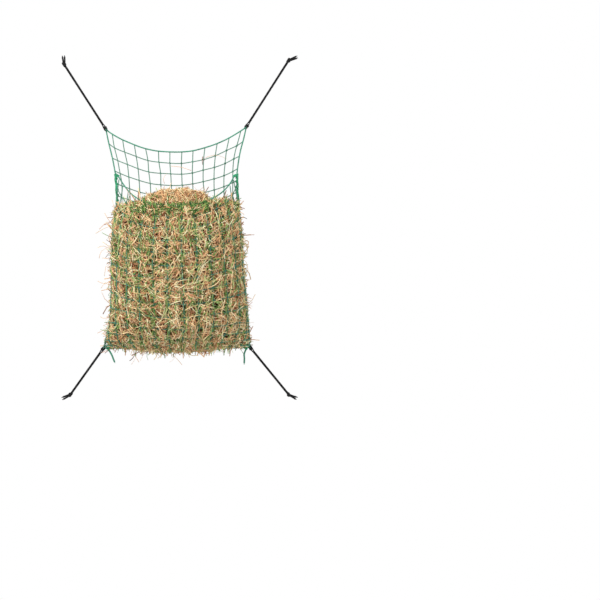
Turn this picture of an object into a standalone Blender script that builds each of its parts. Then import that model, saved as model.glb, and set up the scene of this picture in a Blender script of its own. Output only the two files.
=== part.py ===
"""Hay net: a flat back panel and a bulging front panel between border ropes, with four corner ties.

The frame is +X to the right seen from the front, -Y to the front and +Z up, in metres. The origin is
the middle of the line between the two upper tie knots, in the plane of the border ropes.
"""
import math

import bmesh
import bpy
import numpy as np
from mathutils import Vector

# ---- Driving dimensions, in metres ----
GAP = 0.0005  # air between pieces that bear on each other
ROPE_R = 0.003  # border ropes and mouth rope
LACING_R = 0.0015
TAIL_R = 0.003  # loose ends of the lacing
KNOT_R = 0.0055  # knots of the mouth rope and of the lacing
PANEL_THICK = 0.002
PANEL_INSET = 0.0045  # from a border rope's middle to the back panel's edge
EYE_R = 0.0065  # middle of the eye's cord
EYE_CORD_R = 0.00175
TIE_R = 0.002  # one strand of a tie
TIE_Y = -0.006  # plane that the ties lie and swing in
TIE_LOOP_R = EYE_CORD_R + TIE_R + GAP  # loop round the eye's cord
STRAND_OFFSET = TIE_R + 0.5 * GAP  # half the distance between a tie's strands
HITCH_AT = 0.016  # the hitch's distance from the pivot
NARROWING_LENGTH = 0.0208  # from the pivot to where a tie's strands lie side by side
TIE_KNOT_HALF = (0.0085, 0.0055, 0.0065)  # along the tie, across it and in depth
CORNER_TO_PIVOT = 0.018

# Corner ties, as (x, z): the pivot in the corner eye, the far knot and the tips of its two tails
TIES = {
    "top_left": ((-0.283, -0.263), (-0.447, -0.008), ((-0.456, 0.021), (-0.443, 0.023))),
    "top_right": ((0.283, -0.254), (0.450, 0.008), ((0.479, 0.026), (0.483, 0.015))),
    "bottom_left": ((-0.292, -1.145), (-0.422, -1.327), ((-0.453, -1.335), (-0.449, -1.348))),
    "bottom_right": ((0.299, -1.142), (0.451, -1.328), ((0.482, -1.335), (0.476, -1.347))),
}

# Border ropes, as (x, z), between the corners
TOP_ROUTE = (
    (-0.264, -0.280), (-0.225, -0.303), (-0.180, -0.323), (-0.135, -0.340), (-0.084, -0.352),
    (-0.033, -0.3565), (0.020, -0.357), (0.068, -0.352), (0.118, -0.339), (0.165, -0.323),
    (0.212, -0.301), (0.257, -0.274),
)
LEFT_ROUTE = (
    (-0.2695, -0.321), (-0.2556, -0.378), (-0.2452, -0.431), (-0.2385, -0.475), (-0.2345, -0.560),
    (-0.2425, -0.629), (-0.2475, -0.719), (-0.249, -0.850), (-0.2505, -0.941), (-0.2575, -1.025),
    (-0.2715, -1.090),
)
RIGHT_ROUTE = (
    (0.270, -0.305), (0.2572, -0.3536), (0.2484, -0.4028), (0.2435, -0.4516), (0.2437, -0.510),
    (0.2476, -0.5636), (0.2596, -0.705), (0.2655, -0.823), (0.276, -0.931), (0.2845, -1.026),
    (0.2885, -1.085),
)
BOTTOM_ROUTE = ((-0.200, -1.143), (-0.100, -1.153), (0.003, -1.156), (0.106, -1.152), (0.206, -1.142))

# Mouth rope, as (x, y, z), between its end knots
MOUTH_Y = -0.0065
MOUTH_Z = -0.452
MOUTH_ROUTE = (
    (-0.2064, -0.035, -0.4904), (-0.182, -0.058, -0.520), (-0.149, -0.082, -0.546),
    (-0.100, -0.104, -0.566), (-0.040, -0.116, -0.575), (0.030, -0.117, -0.5765),
    (0.100, -0.105, -0.566), (0.1512, -0.083, -0.5455), (0.1876, -0.059, -0.520),
    (0.2145, -0.033, -0.4885),
)

# How far the filled front panel stands out from its laced edges, as (z, depth)
BULGE = (
    (-0.440, 0.050), (-0.520, 0.086), (-0.575, 0.112), (-0.650, 0.150), (-0.760, 0.180),
    (-0.900, 0.192), (-1.010, 0.190), (-1.100, 0.176), (-1.165, 0.160),
)
CLOSING_HEIGHT = 0.130  # height over the bottom edge below which the panel rounds in to it
# How far it also swells sideways past the border ropes, as (z, spread)
SPREAD = (
    (-0.440, 0.0), (-0.520, 0.002), (-0.580, 0.030), (-0.660, 0.060), (-0.900, 0.068), (-1.165, 0.050),
)
EDGE_Y = -0.009  # laced edges of the front panel
BULGE_POWER = 0.75
SPREAD_POWER = 6
MOUTH_FADE = 0.06  # height over which the front panel leaves the mouth rope's line

HAY_TOP_Z = -0.585
HAY_SIDE_GAP = 0.007
HAY_BACK_Y = -0.003
HAY_DEPTH_SHARE = 0.96
HAY_BOTTOM_GAP = 0.012
CROWN_CENTRE = (-0.004, -0.050)  # x, y
CROWN_HALF = (0.142, 0.042)
# The crown of hay over the mouth rope, as (height over the fill, share of its width)
CROWN_PROFILE = ((0.0, 1.0), (0.024, 0.95), (0.048, 0.78), (0.067, 0.50), (0.078, 0.18))

LACING_TAILS = {
    "left": ((-0.2690, -0.0125, -1.1485), (-0.263, -0.015, -1.156), (-0.256, -0.0155, -1.168),
             (-0.251, -0.0155, -1.181), (-0.245, -0.0155, -1.196)),
    "right": ((0.2795, -0.0125, -1.1480), (0.2765, -0.015, -1.154), (0.2725, -0.0155, -1.166),
              (0.2735, -0.0155, -1.182), (0.2730, -0.0155, -1.201)),
}
LACING_KNOTS = {"left": (-0.2715, -0.0128, -1.1420), "right": (0.2810, -0.0128, -1.1415)}
LACING_END_Z = -1.115

# The stretches of the ropes that the back panel's outline follows: from, to and number of points
OUTLINE_TOP_X = (-0.258, 0.254, 14)
OUTLINE_BOTTOM_X = (-0.262, 0.272, 9)
OUTLINE_SIDE_Z = {"left": (-0.300, -1.115, 13), "right": (-0.290, -1.112, 13)}

SIDES = {"left": -1, "right": 1}

# ---- Fineness of the solids ----
COLUMNS = 22
ROWS = 14
ROPE_STEP = 0.018
MOUTH_ROPE_STEP = 0.0125
TAIL_STEP = 0.005
LACING_POINTS = 16
EYE_POINTS = 20
HITCH_POINTS = 14
CROWN_POINTS = 20
NARROWING_POINTS = 5
STRAND_POINTS = 14
EYE_TURN_STEPS = 8
END_TURN_STEPS = 4
FINE_STEPS = 12
SETTLING_STEPS = 16

# ---- Materials ----
COLOURS = {
    "net_cord": ((0.05, 0.36, 0.20), 0.55),
    "net_rope": ((0.03, 0.40, 0.22), 0.45),
    "tie_cord": ((0.012, 0.012, 0.014), 0.35),
    "hay": ((0.45, 0.33, 0.16), 0.85),
}


def make_material(name):
    """A plain Principled material in the named colour."""
    colour, roughness = COLOURS[name]
    material = bpy.data.materials.new(name)
    material.use_nodes = True
    shader = material.node_tree.nodes["Principled BSDF"]
    shader.inputs["Base Color"].default_value = (*colour, 1.0)
    shader.inputs["Roughness"].default_value = roughness
    shader.inputs["Metallic"].default_value = 0.0
    return material


def clear_scene():
    """Remove every object, whatever scene the script is run from."""
    for old in list(bpy.data.objects):
        bpy.data.objects.remove(old, do_unlink=True)


def add_object(name, data, material):
    """Put a mesh or a curve into the part's collection under its own name."""
    part = bpy.data.objects.new(name, data)
    data.materials.append(material)
    COLLECTION.objects.link(part)
    return part


# ---- Curves and profiles ----
def at_depth(point, y):
    """An (x, z) pair as a point at depth y."""
    return Vector((point[0], y, point[1]))


def catmull_rom(before, start, end, after, share):
    """The point a share of the way from start to end on a smooth curve through all four."""
    straight = end - before
    bend = 2 * before - 5 * start + 4 * end - after
    twist = 3 * (start - end) + after - before
    return 0.5 * (2 * start + share * straight + share**2 * bend + share**3 * twist)


def fine_curve(points):
    """Closely spaced points on a smooth curve through the given points."""
    knots = [Vector(point) for point in points]
    knots = [2 * knots[0] - knots[1], *knots, 2 * knots[-1] - knots[-2]]
    fine = []
    for before, start, end, after in zip(knots, knots[1:], knots[2:], knots[3:]):
        fine += [catmull_rom(before, start, end, after, step / FINE_STEPS) for step in range(FINE_STEPS)]
    return fine + [knots[-2]]


def evenly(fine, step):
    """The same curve with its points about one step apart."""
    lengths = np.cumsum([0.0] + [(b - a).length for a, b in zip(fine, fine[1:])])
    count = max(2, round(lengths[-1] / step) + 1)
    stations = np.linspace(0.0, lengths[-1], count)
    columns = [np.interp(stations, lengths, [point[axis] for point in fine]) for axis in range(3)]
    return [Vector(point) for point in zip(*columns)]


def profile(pairs):
    """A function that reads the second value of smooth (first, second) pairs at any first value."""
    fine = fine_curve([(first, second, 0.0) for first, second in pairs])
    fine.sort(key=lambda point: point.x)
    firsts = [point.x for point in fine]
    seconds = [point.y for point in fine]
    return lambda value: float(np.interp(value, firsts, seconds))


def swapped(pairs):
    """The pairs with their two values exchanged."""
    return [(second, first) for first, second in pairs]


# ---- Shapes ----
def tube(name, points, radius, material, cyclic=False):
    """A cord or a rope along the points, with closed ends unless it is a loop."""
    curve = bpy.data.curves.new(name, "CURVE")
    curve.dimensions = "3D"
    curve.bevel_depth = radius
    curve.bevel_resolution = 2
    curve.use_fill_caps = True
    spline = curve.splines.new("POLY")
    spline.points.add(len(points) - 1)
    for knot, point in zip(spline.points, points):
        knot.co = (*point, 1.0)
    spline.use_cyclic_u = cyclic
    return add_object(name, curve, material)


def ball(name, centre, half_sizes, along, material):
    """An ellipsoid knot whose first half size lies along the given direction."""
    shape = bmesh.new()
    bmesh.ops.create_uvsphere(shape, u_segments=12, v_segments=8, radius=1.0)
    length, width, depth = half_sizes
    bmesh.ops.scale(shape, vec=(width, depth, length), verts=shape.verts)
    mesh = bpy.data.meshes.new(name)
    shape.to_mesh(mesh)
    shape.free()
    mesh.shade_smooth()
    knot = add_object(name, mesh, material)
    knot.rotation_mode = "QUATERNION"
    knot.rotation_quaternion = Vector(along).to_track_quat("Z", "Y")
    knot.location = centre
    return knot


def loft(name, rings, material):
    """A closed solid through rings of equal point count, capped at both ends."""
    shape = bmesh.new()
    levels = [[shape.verts.new(point) for point in ring] for ring in rings]
    for upper, lower in zip(levels, levels[1:]):
        for index in range(len(upper)):
            following = (index + 1) % len(upper)
            shape.faces.new((upper[index], upper[following], lower[following], lower[index]))
    shape.faces.new(levels[0])
    shape.faces.new(list(reversed(levels[-1])))
    bmesh.ops.triangulate(shape, faces=shape.faces)
    bmesh.ops.recalc_face_normals(shape, faces=shape.faces)
    mesh = bpy.data.meshes.new(name)
    shape.to_mesh(mesh)
    shape.free()
    return add_object(name, mesh, material)


def shell(name, rows, thickness, material):
    """A curved panel through a grid of points, thickened equally to both sides."""
    shape = bmesh.new()
    grid = [[shape.verts.new(point) for point in row] for row in rows]
    for upper, lower in zip(grid, grid[1:]):
        for column in range(len(upper) - 1):
            shape.faces.new((upper[column], lower[column], lower[column + 1], upper[column + 1]))
    mesh = bpy.data.meshes.new(name)
    shape.to_mesh(mesh)
    shape.free()
    panel = add_object(name, mesh, material)
    solid = panel.modifiers.new("Thickness", "SOLIDIFY")
    solid.thickness = thickness
    solid.offset = 0.0
    return panel


def flat_panel(name, outline, thickness, back_y, material):
    """A flat sheet with an (x, z) outline, whose back face lies at back_y."""
    curve = bpy.data.curves.new(name, "CURVE")
    curve.dimensions = "2D"
    curve.fill_mode = "BOTH"
    curve.extrude = 0.5 * thickness
    spline = curve.splines.new("POLY")
    spline.points.add(len(outline) - 1)
    for knot, (x, z) in zip(spline.points, outline):
        knot.co = (x, z, 0.0, 1.0)
    spline.use_cyclic_u = True
    panel = add_object(name, curve, material)
    panel.rotation_euler = (math.radians(90), 0.0, 0.0)
    panel.location = (0.0, back_y - 0.5 * thickness, 0.0)
    return panel


# ---- Places shared by the pieces ----
def tie_direction(corner):
    """The unit direction from a tie's pivot to its far knot."""
    pivot, knot, _ = TIES[corner]
    return (at_depth(knot, TIE_Y) - at_depth(pivot, TIE_Y)).normalized()


def net_corner(corner):
    """The (x, z) where the border ropes of a corner end, inside the eye."""
    pivot = at_depth(TIES[corner][0], 0.0)
    end = pivot - CORNER_TO_PIVOT * tie_direction(corner)
    return end.x, end.z


def side_route(side):
    """A side rope's (x, z) points from its top corner to its bottom corner."""
    middle = LEFT_ROUTE if side == "left" else RIGHT_ROUTE
    return [net_corner(f"top_{side}"), *middle, net_corner(f"bottom_{side}")]


def level_route(level):
    """The top or the bottom rope's (x, z) points from its left corner to its right corner."""
    middle = TOP_ROUTE if level == "top" else BOTTOM_ROUTE
    return [net_corner(f"{level}_left"), *middle, net_corner(f"{level}_right")]


SIDE_X = {side: profile(swapped(side_route(side))) for side in SIDES}
LEVEL_Z = {level: profile(level_route(level)) for level in ("top", "bottom")}
BULGE_AT = profile(BULGE)
SPREAD_AT = profile(SPREAD)


def mouth_knot_centre(side):
    """The middle of the knot that holds the mouth rope beside a side rope."""
    inward = -SIDES[side] * (ROPE_R + GAP + KNOT_R)
    return Vector((SIDE_X[side](MOUTH_Z) + inward, MOUTH_Y, MOUTH_Z))


def mouth_route():
    """The mouth rope's points, starting and ending just clear of its knots."""
    route = [Vector(point) for point in MOUTH_ROUTE]
    for side, neighbour, place in (("left", route[0], 0), ("right", route[-1], len(route))):
        centre = mouth_knot_centre(side)
        away = (neighbour - centre).normalized()
        route.insert(place + (side == "right"), centre + (KNOT_R + GAP) * away)
    return fine_curve(route)


def mouth_edge():
    """The front panel's top edge: the mouth rope's line moved to just below the rope."""
    route = mouth_route()
    edge = []
    for before, point, after in zip(route, route[1:], route[2:]):
        along = after - before
        below = Vector((along.z, 0.0, -along.x)).normalized()
        edge.append(point + (ROPE_R + 0.5 * PANEL_THICK + 2 * GAP) * below)
    return edge


EDGE = mouth_edge()
EDGE_X = [point.x for point in EDGE]
EDGE_CORNER_Z = MOUTH_Z - KNOT_R - 0.5 * PANEL_THICK - 2 * GAP


def edge_at(x, values, beyond):
    """A value of the mouth edge at x, running to the given value at the side ropes."""
    ends = [SIDE_X["left"](MOUTH_Z), *EDGE_X, SIDE_X["right"](MOUTH_Z)]
    return float(np.interp(x, ends, [beyond, *values, beyond]))


def across(share, z):
    """The x at a share from -1 (left rope) to 1 (right rope) of the net's width at height z."""
    left, right = SIDE_X["left"](z), SIDE_X["right"](z)
    return 0.5 * (left + right) + 0.5 * (right - left) * share


def mouth_height(share):
    """The height of the front panel's top edge at a share of the width."""
    height = MOUTH_Z
    for _ in range(SETTLING_STEPS):
        sought = edge_at(across(share, height), [point.z for point in EDGE], EDGE_CORNER_Z)
        height = 0.5 * (height + min(sought, EDGE_CORNER_Z))
    return height


def rise(share):
    """How fully the front panel stands out at a share of the width: 0 at its edges, 1 in the middle."""
    return max(0.0, 1.0 - share**2) ** (0.5 * BULGE_POWER)


def rounding(height):
    """How fully the front panel stands out at a height over its bottom edge: a quarter circle."""
    short = 1.0 - min(1.0, max(0.0, height / CLOSING_HEIGHT))
    return math.sqrt(1.0 - short**2)


def front_point(share, z):
    """A point of the filled front panel's middle surface."""
    fullness = rise(share) * rounding(z - bottom_height(share))
    top = mouth_height(share)
    at_mouth = EDGE_Y - BULGE_AT(top) * rise(share)
    rope_y = edge_at(across(share, top), [point.y for point in EDGE], EDGE_Y)
    depth = EDGE_Y - BULGE_AT(z) * fullness
    depth += (rope_y - at_mouth) * math.exp(-max(0.0, top - z) / MOUTH_FADE)
    swell = math.copysign(SPREAD_AT(z) * fullness * abs(share) ** SPREAD_POWER, share)
    return Vector((across(share, z) + swell, depth, z))


def shares():
    """Shares across the width, closer together towards both sides."""
    return [-math.cos(math.pi * column / COLUMNS) for column in range(COLUMNS + 1)]


def bottom_height(share):
    """The height of both panels' lower edge, just over the bottom rope."""
    x = across(share, LEVEL_Z["bottom"](0.0))
    return LEVEL_Z["bottom"](x) + ROPE_R + 0.5 * PANEL_THICK + GAP


# ---- The net ----
def build_ropes(material):
    """Four border ropes, each ending a gap short of the next."""
    for level in ("top", "bottom"):
        route = fine_curve([at_depth(point, 0.0) for point in level_route(level)])
        tube(f"{level}_rope", evenly(route, ROPE_STEP), ROPE_R, material)
    clear = 2 * ROPE_R + GAP
    for side in SIDES:
        route = fine_curve([at_depth(point, 0.0) for point in side_route(side)])
        ends = route[0], route[-1]
        inner = [point for point in route if min((point - end).length for end in ends) > clear]
        tube(f"{side}_rope", evenly(inner, ROPE_STEP), ROPE_R, material)


def back_outline():
    """The back panel's (x, z) outline, inset from the four border ropes."""
    left = [(SIDE_X["left"](z) + PANEL_INSET, z) for z in np.linspace(*OUTLINE_SIDE_Z["left"])]
    bottom = [(x, LEVEL_Z["bottom"](x) + PANEL_INSET) for x in np.linspace(*OUTLINE_BOTTOM_X)]
    right = [(SIDE_X["right"](z) - PANEL_INSET, z) for z in np.linspace(*OUTLINE_SIDE_Z["right"])[::-1]]
    top = [(x, LEVEL_Z["top"](x) - PANEL_INSET) for x in np.linspace(*OUTLINE_TOP_X)[::-1]]
    return left + bottom + right + top


def build_panels(material):
    """The flat back panel and the front panel that the hay pushes out."""
    flat_panel("back_panel", back_outline(), PANEL_THICK, ROPE_R, material)
    rows = []
    for row in range(ROWS + 1):
        down = 0.5 - 0.5 * math.cos(math.pi * row / ROWS)
        heights = [(1 - down) * mouth_height(share) + down * bottom_height(share) for share in shares()]
        rows.append([front_point(share, z) for share, z in zip(shares(), heights)])
    shell("front_panel", rows, PANEL_THICK, material)


def build_mouth(material):
    """The mouth rope and the two knots that hold it to the side ropes."""
    tube("mouth_rope", evenly(mouth_route(), MOUTH_ROPE_STEP), ROPE_R, material)
    for side in SIDES:
        ball(f"mouth_knot_{side}", mouth_knot_centre(side), (KNOT_R,) * 3, (1, 0, 0), material)


def build_lacing(material):
    """The cords that lace the front panel to the side ropes, with their knots and loose tails."""
    lacing_y = -ROPE_R - LACING_R - GAP
    start = MOUTH_Z - KNOT_R - LACING_R - GAP
    for side in SIDES:
        heights = np.linspace(start, LACING_END_Z, LACING_POINTS)
        route = [at_depth((SIDE_X[side](z), z), lacing_y) for z in heights]
        tube(f"lacing_{side}", evenly(fine_curve(route), ROPE_STEP), LACING_R, material)
        ball(f"lacing_knot_{side}", LACING_KNOTS[side], (KNOT_R,) * 3, (1, 0, 0), material)
        tail = evenly(fine_curve(LACING_TAILS[side]), TAIL_STEP)
        tube(f"lacing_tail_{side}", tail, TAIL_R, material)


def build_eye(corner, material):
    """The small rope eye at a net corner; its outer cord runs along Y, through the tie's loop."""
    pivot = at_depth(TIES[corner][0], TIE_Y)
    outward = tie_direction(corner)
    centre = pivot - EYE_R * outward
    points = []
    for step in range(EYE_POINTS):
        turn = math.tau * step / EYE_POINTS
        points.append(centre + EYE_R * (math.cos(turn) * outward + math.sin(turn) * Vector((0, 1, 0))))
    tube(f"corner_eye_{corner}", points, EYE_CORD_R, material, cyclic=True)


# ---- The ties ----
def narrowing(distance):
    """A strand's distance from the tie's middle line, from the loop down to touching."""
    ease = 0.5 + 0.5 * math.cos(math.pi * min(1.0, distance / NARROWING_LENGTH))
    return STRAND_OFFSET + (TIE_LOOP_R - STRAND_OFFSET) * ease


def half_turn(centre, start, towards, count):
    """Points on a half circle from start round to the opposite side, bulging towards a direction."""
    arm = start - centre
    turns = [math.pi * step / count for step in range(1, count)]
    return [centre + math.cos(turn) * arm + math.sin(turn) * arm.length * towards for turn in turns]


def build_tie(corner, material):
    """A doubled cord looped through the eye, with its hitch, far knot and two tails."""
    pivot, knot, tips = TIES[corner]
    pivot, knot = at_depth(pivot, TIE_Y), at_depth(knot, TIE_Y)
    outward = tie_direction(corner)
    sideways = outward.cross(Vector((0, 1, 0)))
    knot_length, knot_width, knot_depth = TIE_KNOT_HALF
    reach = (knot - pivot).length - knot_length - GAP - TIE_R - STRAND_OFFSET
    narrow = np.linspace(0.0, NARROWING_LENGTH, NARROWING_POINTS)
    stations = [*narrow, *np.linspace(NARROWING_LENGTH, reach, STRAND_POINTS)[1:]]
    strand = [pivot + outward * s + sideways * narrowing(s) for s in stations]
    other = [pivot + outward * s - sideways * narrowing(s) for s in reversed(stations)]
    far_turn = half_turn(pivot + outward * reach, strand[-1], outward, END_TURN_STEPS)
    eye_turn = half_turn(pivot, other[-1], -outward, EYE_TURN_STEPS)
    tube(f"tie_cord_{corner}", strand + far_turn + other + eye_turn, TIE_R, material, cyclic=True)

    middle = pivot + outward * HITCH_AT
    wide = narrowing(HITCH_AT) + 2 * TIE_R + GAP
    deep = 2 * TIE_R + GAP
    band = []
    for step in range(HITCH_POINTS):
        turn = math.tau * step / HITCH_POINTS
        band.append(middle + wide * math.cos(turn) * sideways + deep * math.sin(turn) * Vector((0, 1, 0)))
    tube(f"tie_hitch_{corner}", band, TIE_R - GAP, material, cyclic=True)

    ball(f"tie_knot_{corner}", knot, (knot_length, knot_width, knot_depth), outward, material)
    build_tails(corner, knot, [at_depth(tip, TIE_Y) for tip in tips], material)


def build_tails(corner, knot, tips, material):
    """The two cord ends that stand out of a far knot, as one bent cord in front of the knot's end."""
    aim = (0.5 * (tips[0] + tips[1]) - knot).normalized()
    root = knot + aim * (TIE_KNOT_HALF[0] + GAP + TIE_R + STRAND_OFFSET)
    apart = (tips[1] - tips[0]).normalized()
    first, second = root - apart * STRAND_OFFSET, root + apart * STRAND_OFFSET
    turn = half_turn(root, first, -aim, END_TURN_STEPS)
    out = [tips[0], tips[0].lerp(first, 0.5) - apart * GAP, first]
    back = [second, tips[1].lerp(second, 0.5) + apart * GAP, tips[1]]
    tube(f"tie_tails_{corner}", out + turn + back, TIE_R, material)


# ---- The hay ----
def build_hay_fill(material):
    """The hay between the panels, flat at the back and following the front panel."""
    rings = []
    for row in range(ROWS + 1):
        down = row / ROWS
        ring = []
        for share in shares():
            lowest = bottom_height(share) + HAY_BOTTOM_GAP
            z = (1 - down) * HAY_TOP_Z + down * lowest
            ring.append(hay_point(share, z))
        ends = [Vector((ring[index].x, -GAP, ring[index].z)) for index in (-1, 0)]
        rings.append(ring + ends)
    loft("hay_fill", rings, material)


def hay_point(share, z):
    """A point of the hay's front surface, a few millimetres inside and above the front panel."""
    net = front_point(share, z)
    under = front_point(share, z - HAY_BOTTOM_GAP)
    middle = across(0.0, z)
    half = across(1.0, z) - middle
    x = middle + (net.x - middle) * (1 - HAY_SIDE_GAP / half)
    depth = HAY_DEPTH_SHARE * (max(net.y, under.y) - EDGE_Y) + HAY_BACK_Y
    return Vector((x, min(HAY_BACK_Y, depth), z))


def build_hay_top(material):
    """The crown of hay that stands over the mouth rope."""
    rings = []
    for height, share in CROWN_PROFILE:
        ring = []
        for step in range(CROWN_POINTS):
            turn = math.tau * step / CROWN_POINTS
            x = CROWN_CENTRE[0] + CROWN_HALF[0] * share * math.cos(turn)
            y = CROWN_CENTRE[1] + CROWN_HALF[1] * share * math.sin(turn)
            ring.append(Vector((x, y, HAY_TOP_Z + GAP + height)))
        rings.append(ring)
    loft("hay_top", rings, material)


clear_scene()
COLLECTION = bpy.data.collections.new("hay_net")
bpy.context.scene.collection.children.link(COLLECTION)
MATERIALS = {name: make_material(name) for name in COLOURS}
build_ropes(MATERIALS["net_rope"])
build_panels(MATERIALS["net_cord"])
build_mouth(MATERIALS["net_rope"])
build_lacing(MATERIALS["net_rope"])
for corner_name in TIES:
    build_eye(corner_name, MATERIALS["net_rope"])
    build_tie(corner_name, MATERIALS["tie_cord"])
build_hay_fill(MATERIALS["hay"])
build_hay_top(MATERIALS["hay"])
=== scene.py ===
"""The looks of the hay net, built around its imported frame: ropes, netting, ties and loose hay."""
import math
from collections import namedtuple

import bpy
import numpy as np
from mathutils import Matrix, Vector


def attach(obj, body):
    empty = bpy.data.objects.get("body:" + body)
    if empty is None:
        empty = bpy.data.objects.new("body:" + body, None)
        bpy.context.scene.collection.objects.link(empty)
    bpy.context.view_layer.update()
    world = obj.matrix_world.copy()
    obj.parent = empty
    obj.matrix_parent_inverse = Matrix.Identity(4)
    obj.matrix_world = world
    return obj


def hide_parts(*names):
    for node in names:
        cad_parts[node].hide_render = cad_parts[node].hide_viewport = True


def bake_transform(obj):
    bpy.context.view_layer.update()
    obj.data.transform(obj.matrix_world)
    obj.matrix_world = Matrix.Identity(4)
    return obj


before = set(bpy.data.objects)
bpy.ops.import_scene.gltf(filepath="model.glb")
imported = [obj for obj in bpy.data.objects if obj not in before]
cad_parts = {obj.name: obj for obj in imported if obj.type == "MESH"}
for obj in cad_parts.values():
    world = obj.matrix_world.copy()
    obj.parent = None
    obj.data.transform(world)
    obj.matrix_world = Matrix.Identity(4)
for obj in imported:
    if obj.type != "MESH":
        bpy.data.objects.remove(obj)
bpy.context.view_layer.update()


# ==== The part's own dimensions, in metres ====
GAP = 0.0005
ROPE_R = 0.003
KNOT_R = 0.0055
EYE_R = 0.0065
EYE_CORD_R = 0.00175
TIE_R = 0.002
TIE_TO_NET = 0.006  # how far in front of the border ropes the ties lie
TIE_Y = -TIE_TO_NET
TIE_LOOK_R = 0.0026  # a strand as it looks, with its nap
TIE_LOOP_R = EYE_CORD_R + TIE_R + GAP
STRAND_OFFSET = TIE_R + 0.5 * GAP
NARROWING_LENGTH = 0.0208
TIE_KNOT_HALF = (0.0085, 0.0055, 0.0065)
CORNER_TO_PIVOT = 0.004  # drawn up closer than in the solids, right to the ties' hitches
PANEL_THICK = 0.002
SIDES = {"left": -1, "right": 1}

# Corner ties, as (x, z): the pivot in the corner eye, the far knot and the tips of its two tails
TIES = {
    "top_left": ((-0.283, -0.263), (-0.447, -0.008), ((-0.456, 0.021), (-0.443, 0.023))),
    "top_right": ((0.283, -0.254), (0.450, 0.008), ((0.479, 0.026), (0.483, 0.015))),
    "bottom_left": ((-0.292, -1.145), (-0.422, -1.327), ((-0.453, -1.335), (-0.449, -1.348))),
    "bottom_right": ((0.299, -1.142), (0.451, -1.328), ((0.482, -1.335), (0.476, -1.347))),
}

# Border ropes, as (x, z), between the corners
TOP_ROUTE = (
    (-0.264, -0.280), (-0.225, -0.303), (-0.180, -0.323), (-0.135, -0.340), (-0.084, -0.352),
    (-0.033, -0.3565), (0.020, -0.357), (0.068, -0.352), (0.118, -0.339), (0.165, -0.323),
    (0.212, -0.301), (0.257, -0.274),
)
LEFT_ROUTE = (
    (-0.2695, -0.321), (-0.2556, -0.378), (-0.2452, -0.431), (-0.2385, -0.475), (-0.2345, -0.560),
    (-0.2425, -0.629), (-0.2475, -0.719), (-0.249, -0.850), (-0.2505, -0.941), (-0.2575, -1.025),
    (-0.2715, -1.090),
)
RIGHT_ROUTE = (
    (0.270, -0.305), (0.2572, -0.3536), (0.2484, -0.4028), (0.2435, -0.4516), (0.2437, -0.510),
    (0.2476, -0.5636), (0.2596, -0.705), (0.2655, -0.823), (0.276, -0.931), (0.2845, -1.026),
    (0.2885, -1.085),
)
BOTTOM_ROUTE = ((-0.200, -1.143), (-0.100, -1.153), (0.003, -1.156), (0.106, -1.152), (0.206, -1.142))

# Mouth rope, as (x, y, z), between its end knots
MOUTH_Y = -0.0065
MOUTH_Z = -0.452
MOUTH_ROUTE = (
    (-0.2064, -0.035, -0.4904), (-0.182, -0.058, -0.520), (-0.149, -0.082, -0.546),
    (-0.100, -0.104, -0.566), (-0.040, -0.116, -0.575), (0.030, -0.117, -0.5765),
    (0.100, -0.105, -0.566), (0.1512, -0.083, -0.5455), (0.1876, -0.059, -0.520),
    (0.2145, -0.033, -0.4885),
)
LACING_TAILS = {
    "left": ((-0.2690, -0.0125, -1.1485), (-0.263, -0.015, -1.156), (-0.256, -0.0155, -1.168),
             (-0.251, -0.0155, -1.181), (-0.245, -0.0155, -1.196)),
    "right": ((0.2795, -0.0125, -1.1480), (0.2765, -0.015, -1.154), (0.2725, -0.0155, -1.166),
              (0.2735, -0.0155, -1.182), (0.2730, -0.0155, -1.201)),
}
LACING_KNOTS = {"left": (-0.2715, -0.0128, -1.1420), "right": (0.2810, -0.0128, -1.1415)}

# The filled front: how far it stands out and swells sideways, as (z, distance)
BULGE = (
    (-0.440, 0.050), (-0.520, 0.086), (-0.575, 0.112), (-0.650, 0.150), (-0.760, 0.180),
    (-0.900, 0.192), (-1.010, 0.190), (-1.100, 0.176), (-1.165, 0.160),
)
SPREAD = (
    (-0.440, 0.0), (-0.520, 0.002), (-0.580, 0.030), (-0.660, 0.060), (-0.900, 0.068), (-1.165, 0.050),
)
CLOSING_HEIGHT = 0.130
EDGE_Y = -0.009
BULGE_POWER = 0.75
SPREAD_POWER = 6
SWELL_SHARE = 0.45  # of the solids' sideways swell, as loose hay fills the rest
MOUTH_FADE = 0.06
SETTLING_STEPS = 16
HAY_TOP_Z = -0.585
CROWN_CENTRE = (-0.004, -0.050)
CROWN_HALF = (0.142, 0.042)


# ==== The net as it is knotted ====
BACK_COLUMNS = 13
BACK_ROWS = 18
FRONT_COLUMNS = 15
FRONT_ROWS = 14
TWINE_R = 0.0019
BACK_NET_Y = 0.0012
NARROWING = 0.85  # how much narrower the outermost meshes are gathered
NARROWING_POWER = 5
UNEVEN = 0.0010  # how far a netting knot strays from the even grid


# ==== Curves ====
def unit(vectors):
    """Vectors scaled to length one."""
    vectors = np.asarray(vectors, float)
    return vectors / np.maximum(np.linalg.norm(vectors, axis=-1, keepdims=True), 1e-12)


def fine_curve(points, steps=12):
    """Closely spaced points on a Catmull-Rom curve through the given points."""
    knots = np.array(points, float)
    knots = np.vstack([2 * knots[0] - knots[1], knots, 2 * knots[-1] - knots[-2]])
    share = np.linspace(0, 1, steps, endpoint=False)[:, None]
    fine = []
    for before, start, end, after in zip(knots, knots[1:], knots[2:], knots[3:]):
        bend = 2 * before - 5 * start + 4 * end - after
        twist = 3 * (start - end) + after - before
        fine.append(0.5 * (2 * start + share * (end - before) + share**2 * bend + share**3 * twist))
    return np.vstack([*fine, knots[-2]])


def run_of(path):
    """The distance along a path at each of its points."""
    return np.concatenate([[0.0], np.cumsum(np.linalg.norm(np.diff(path, axis=0), axis=1))])


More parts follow.
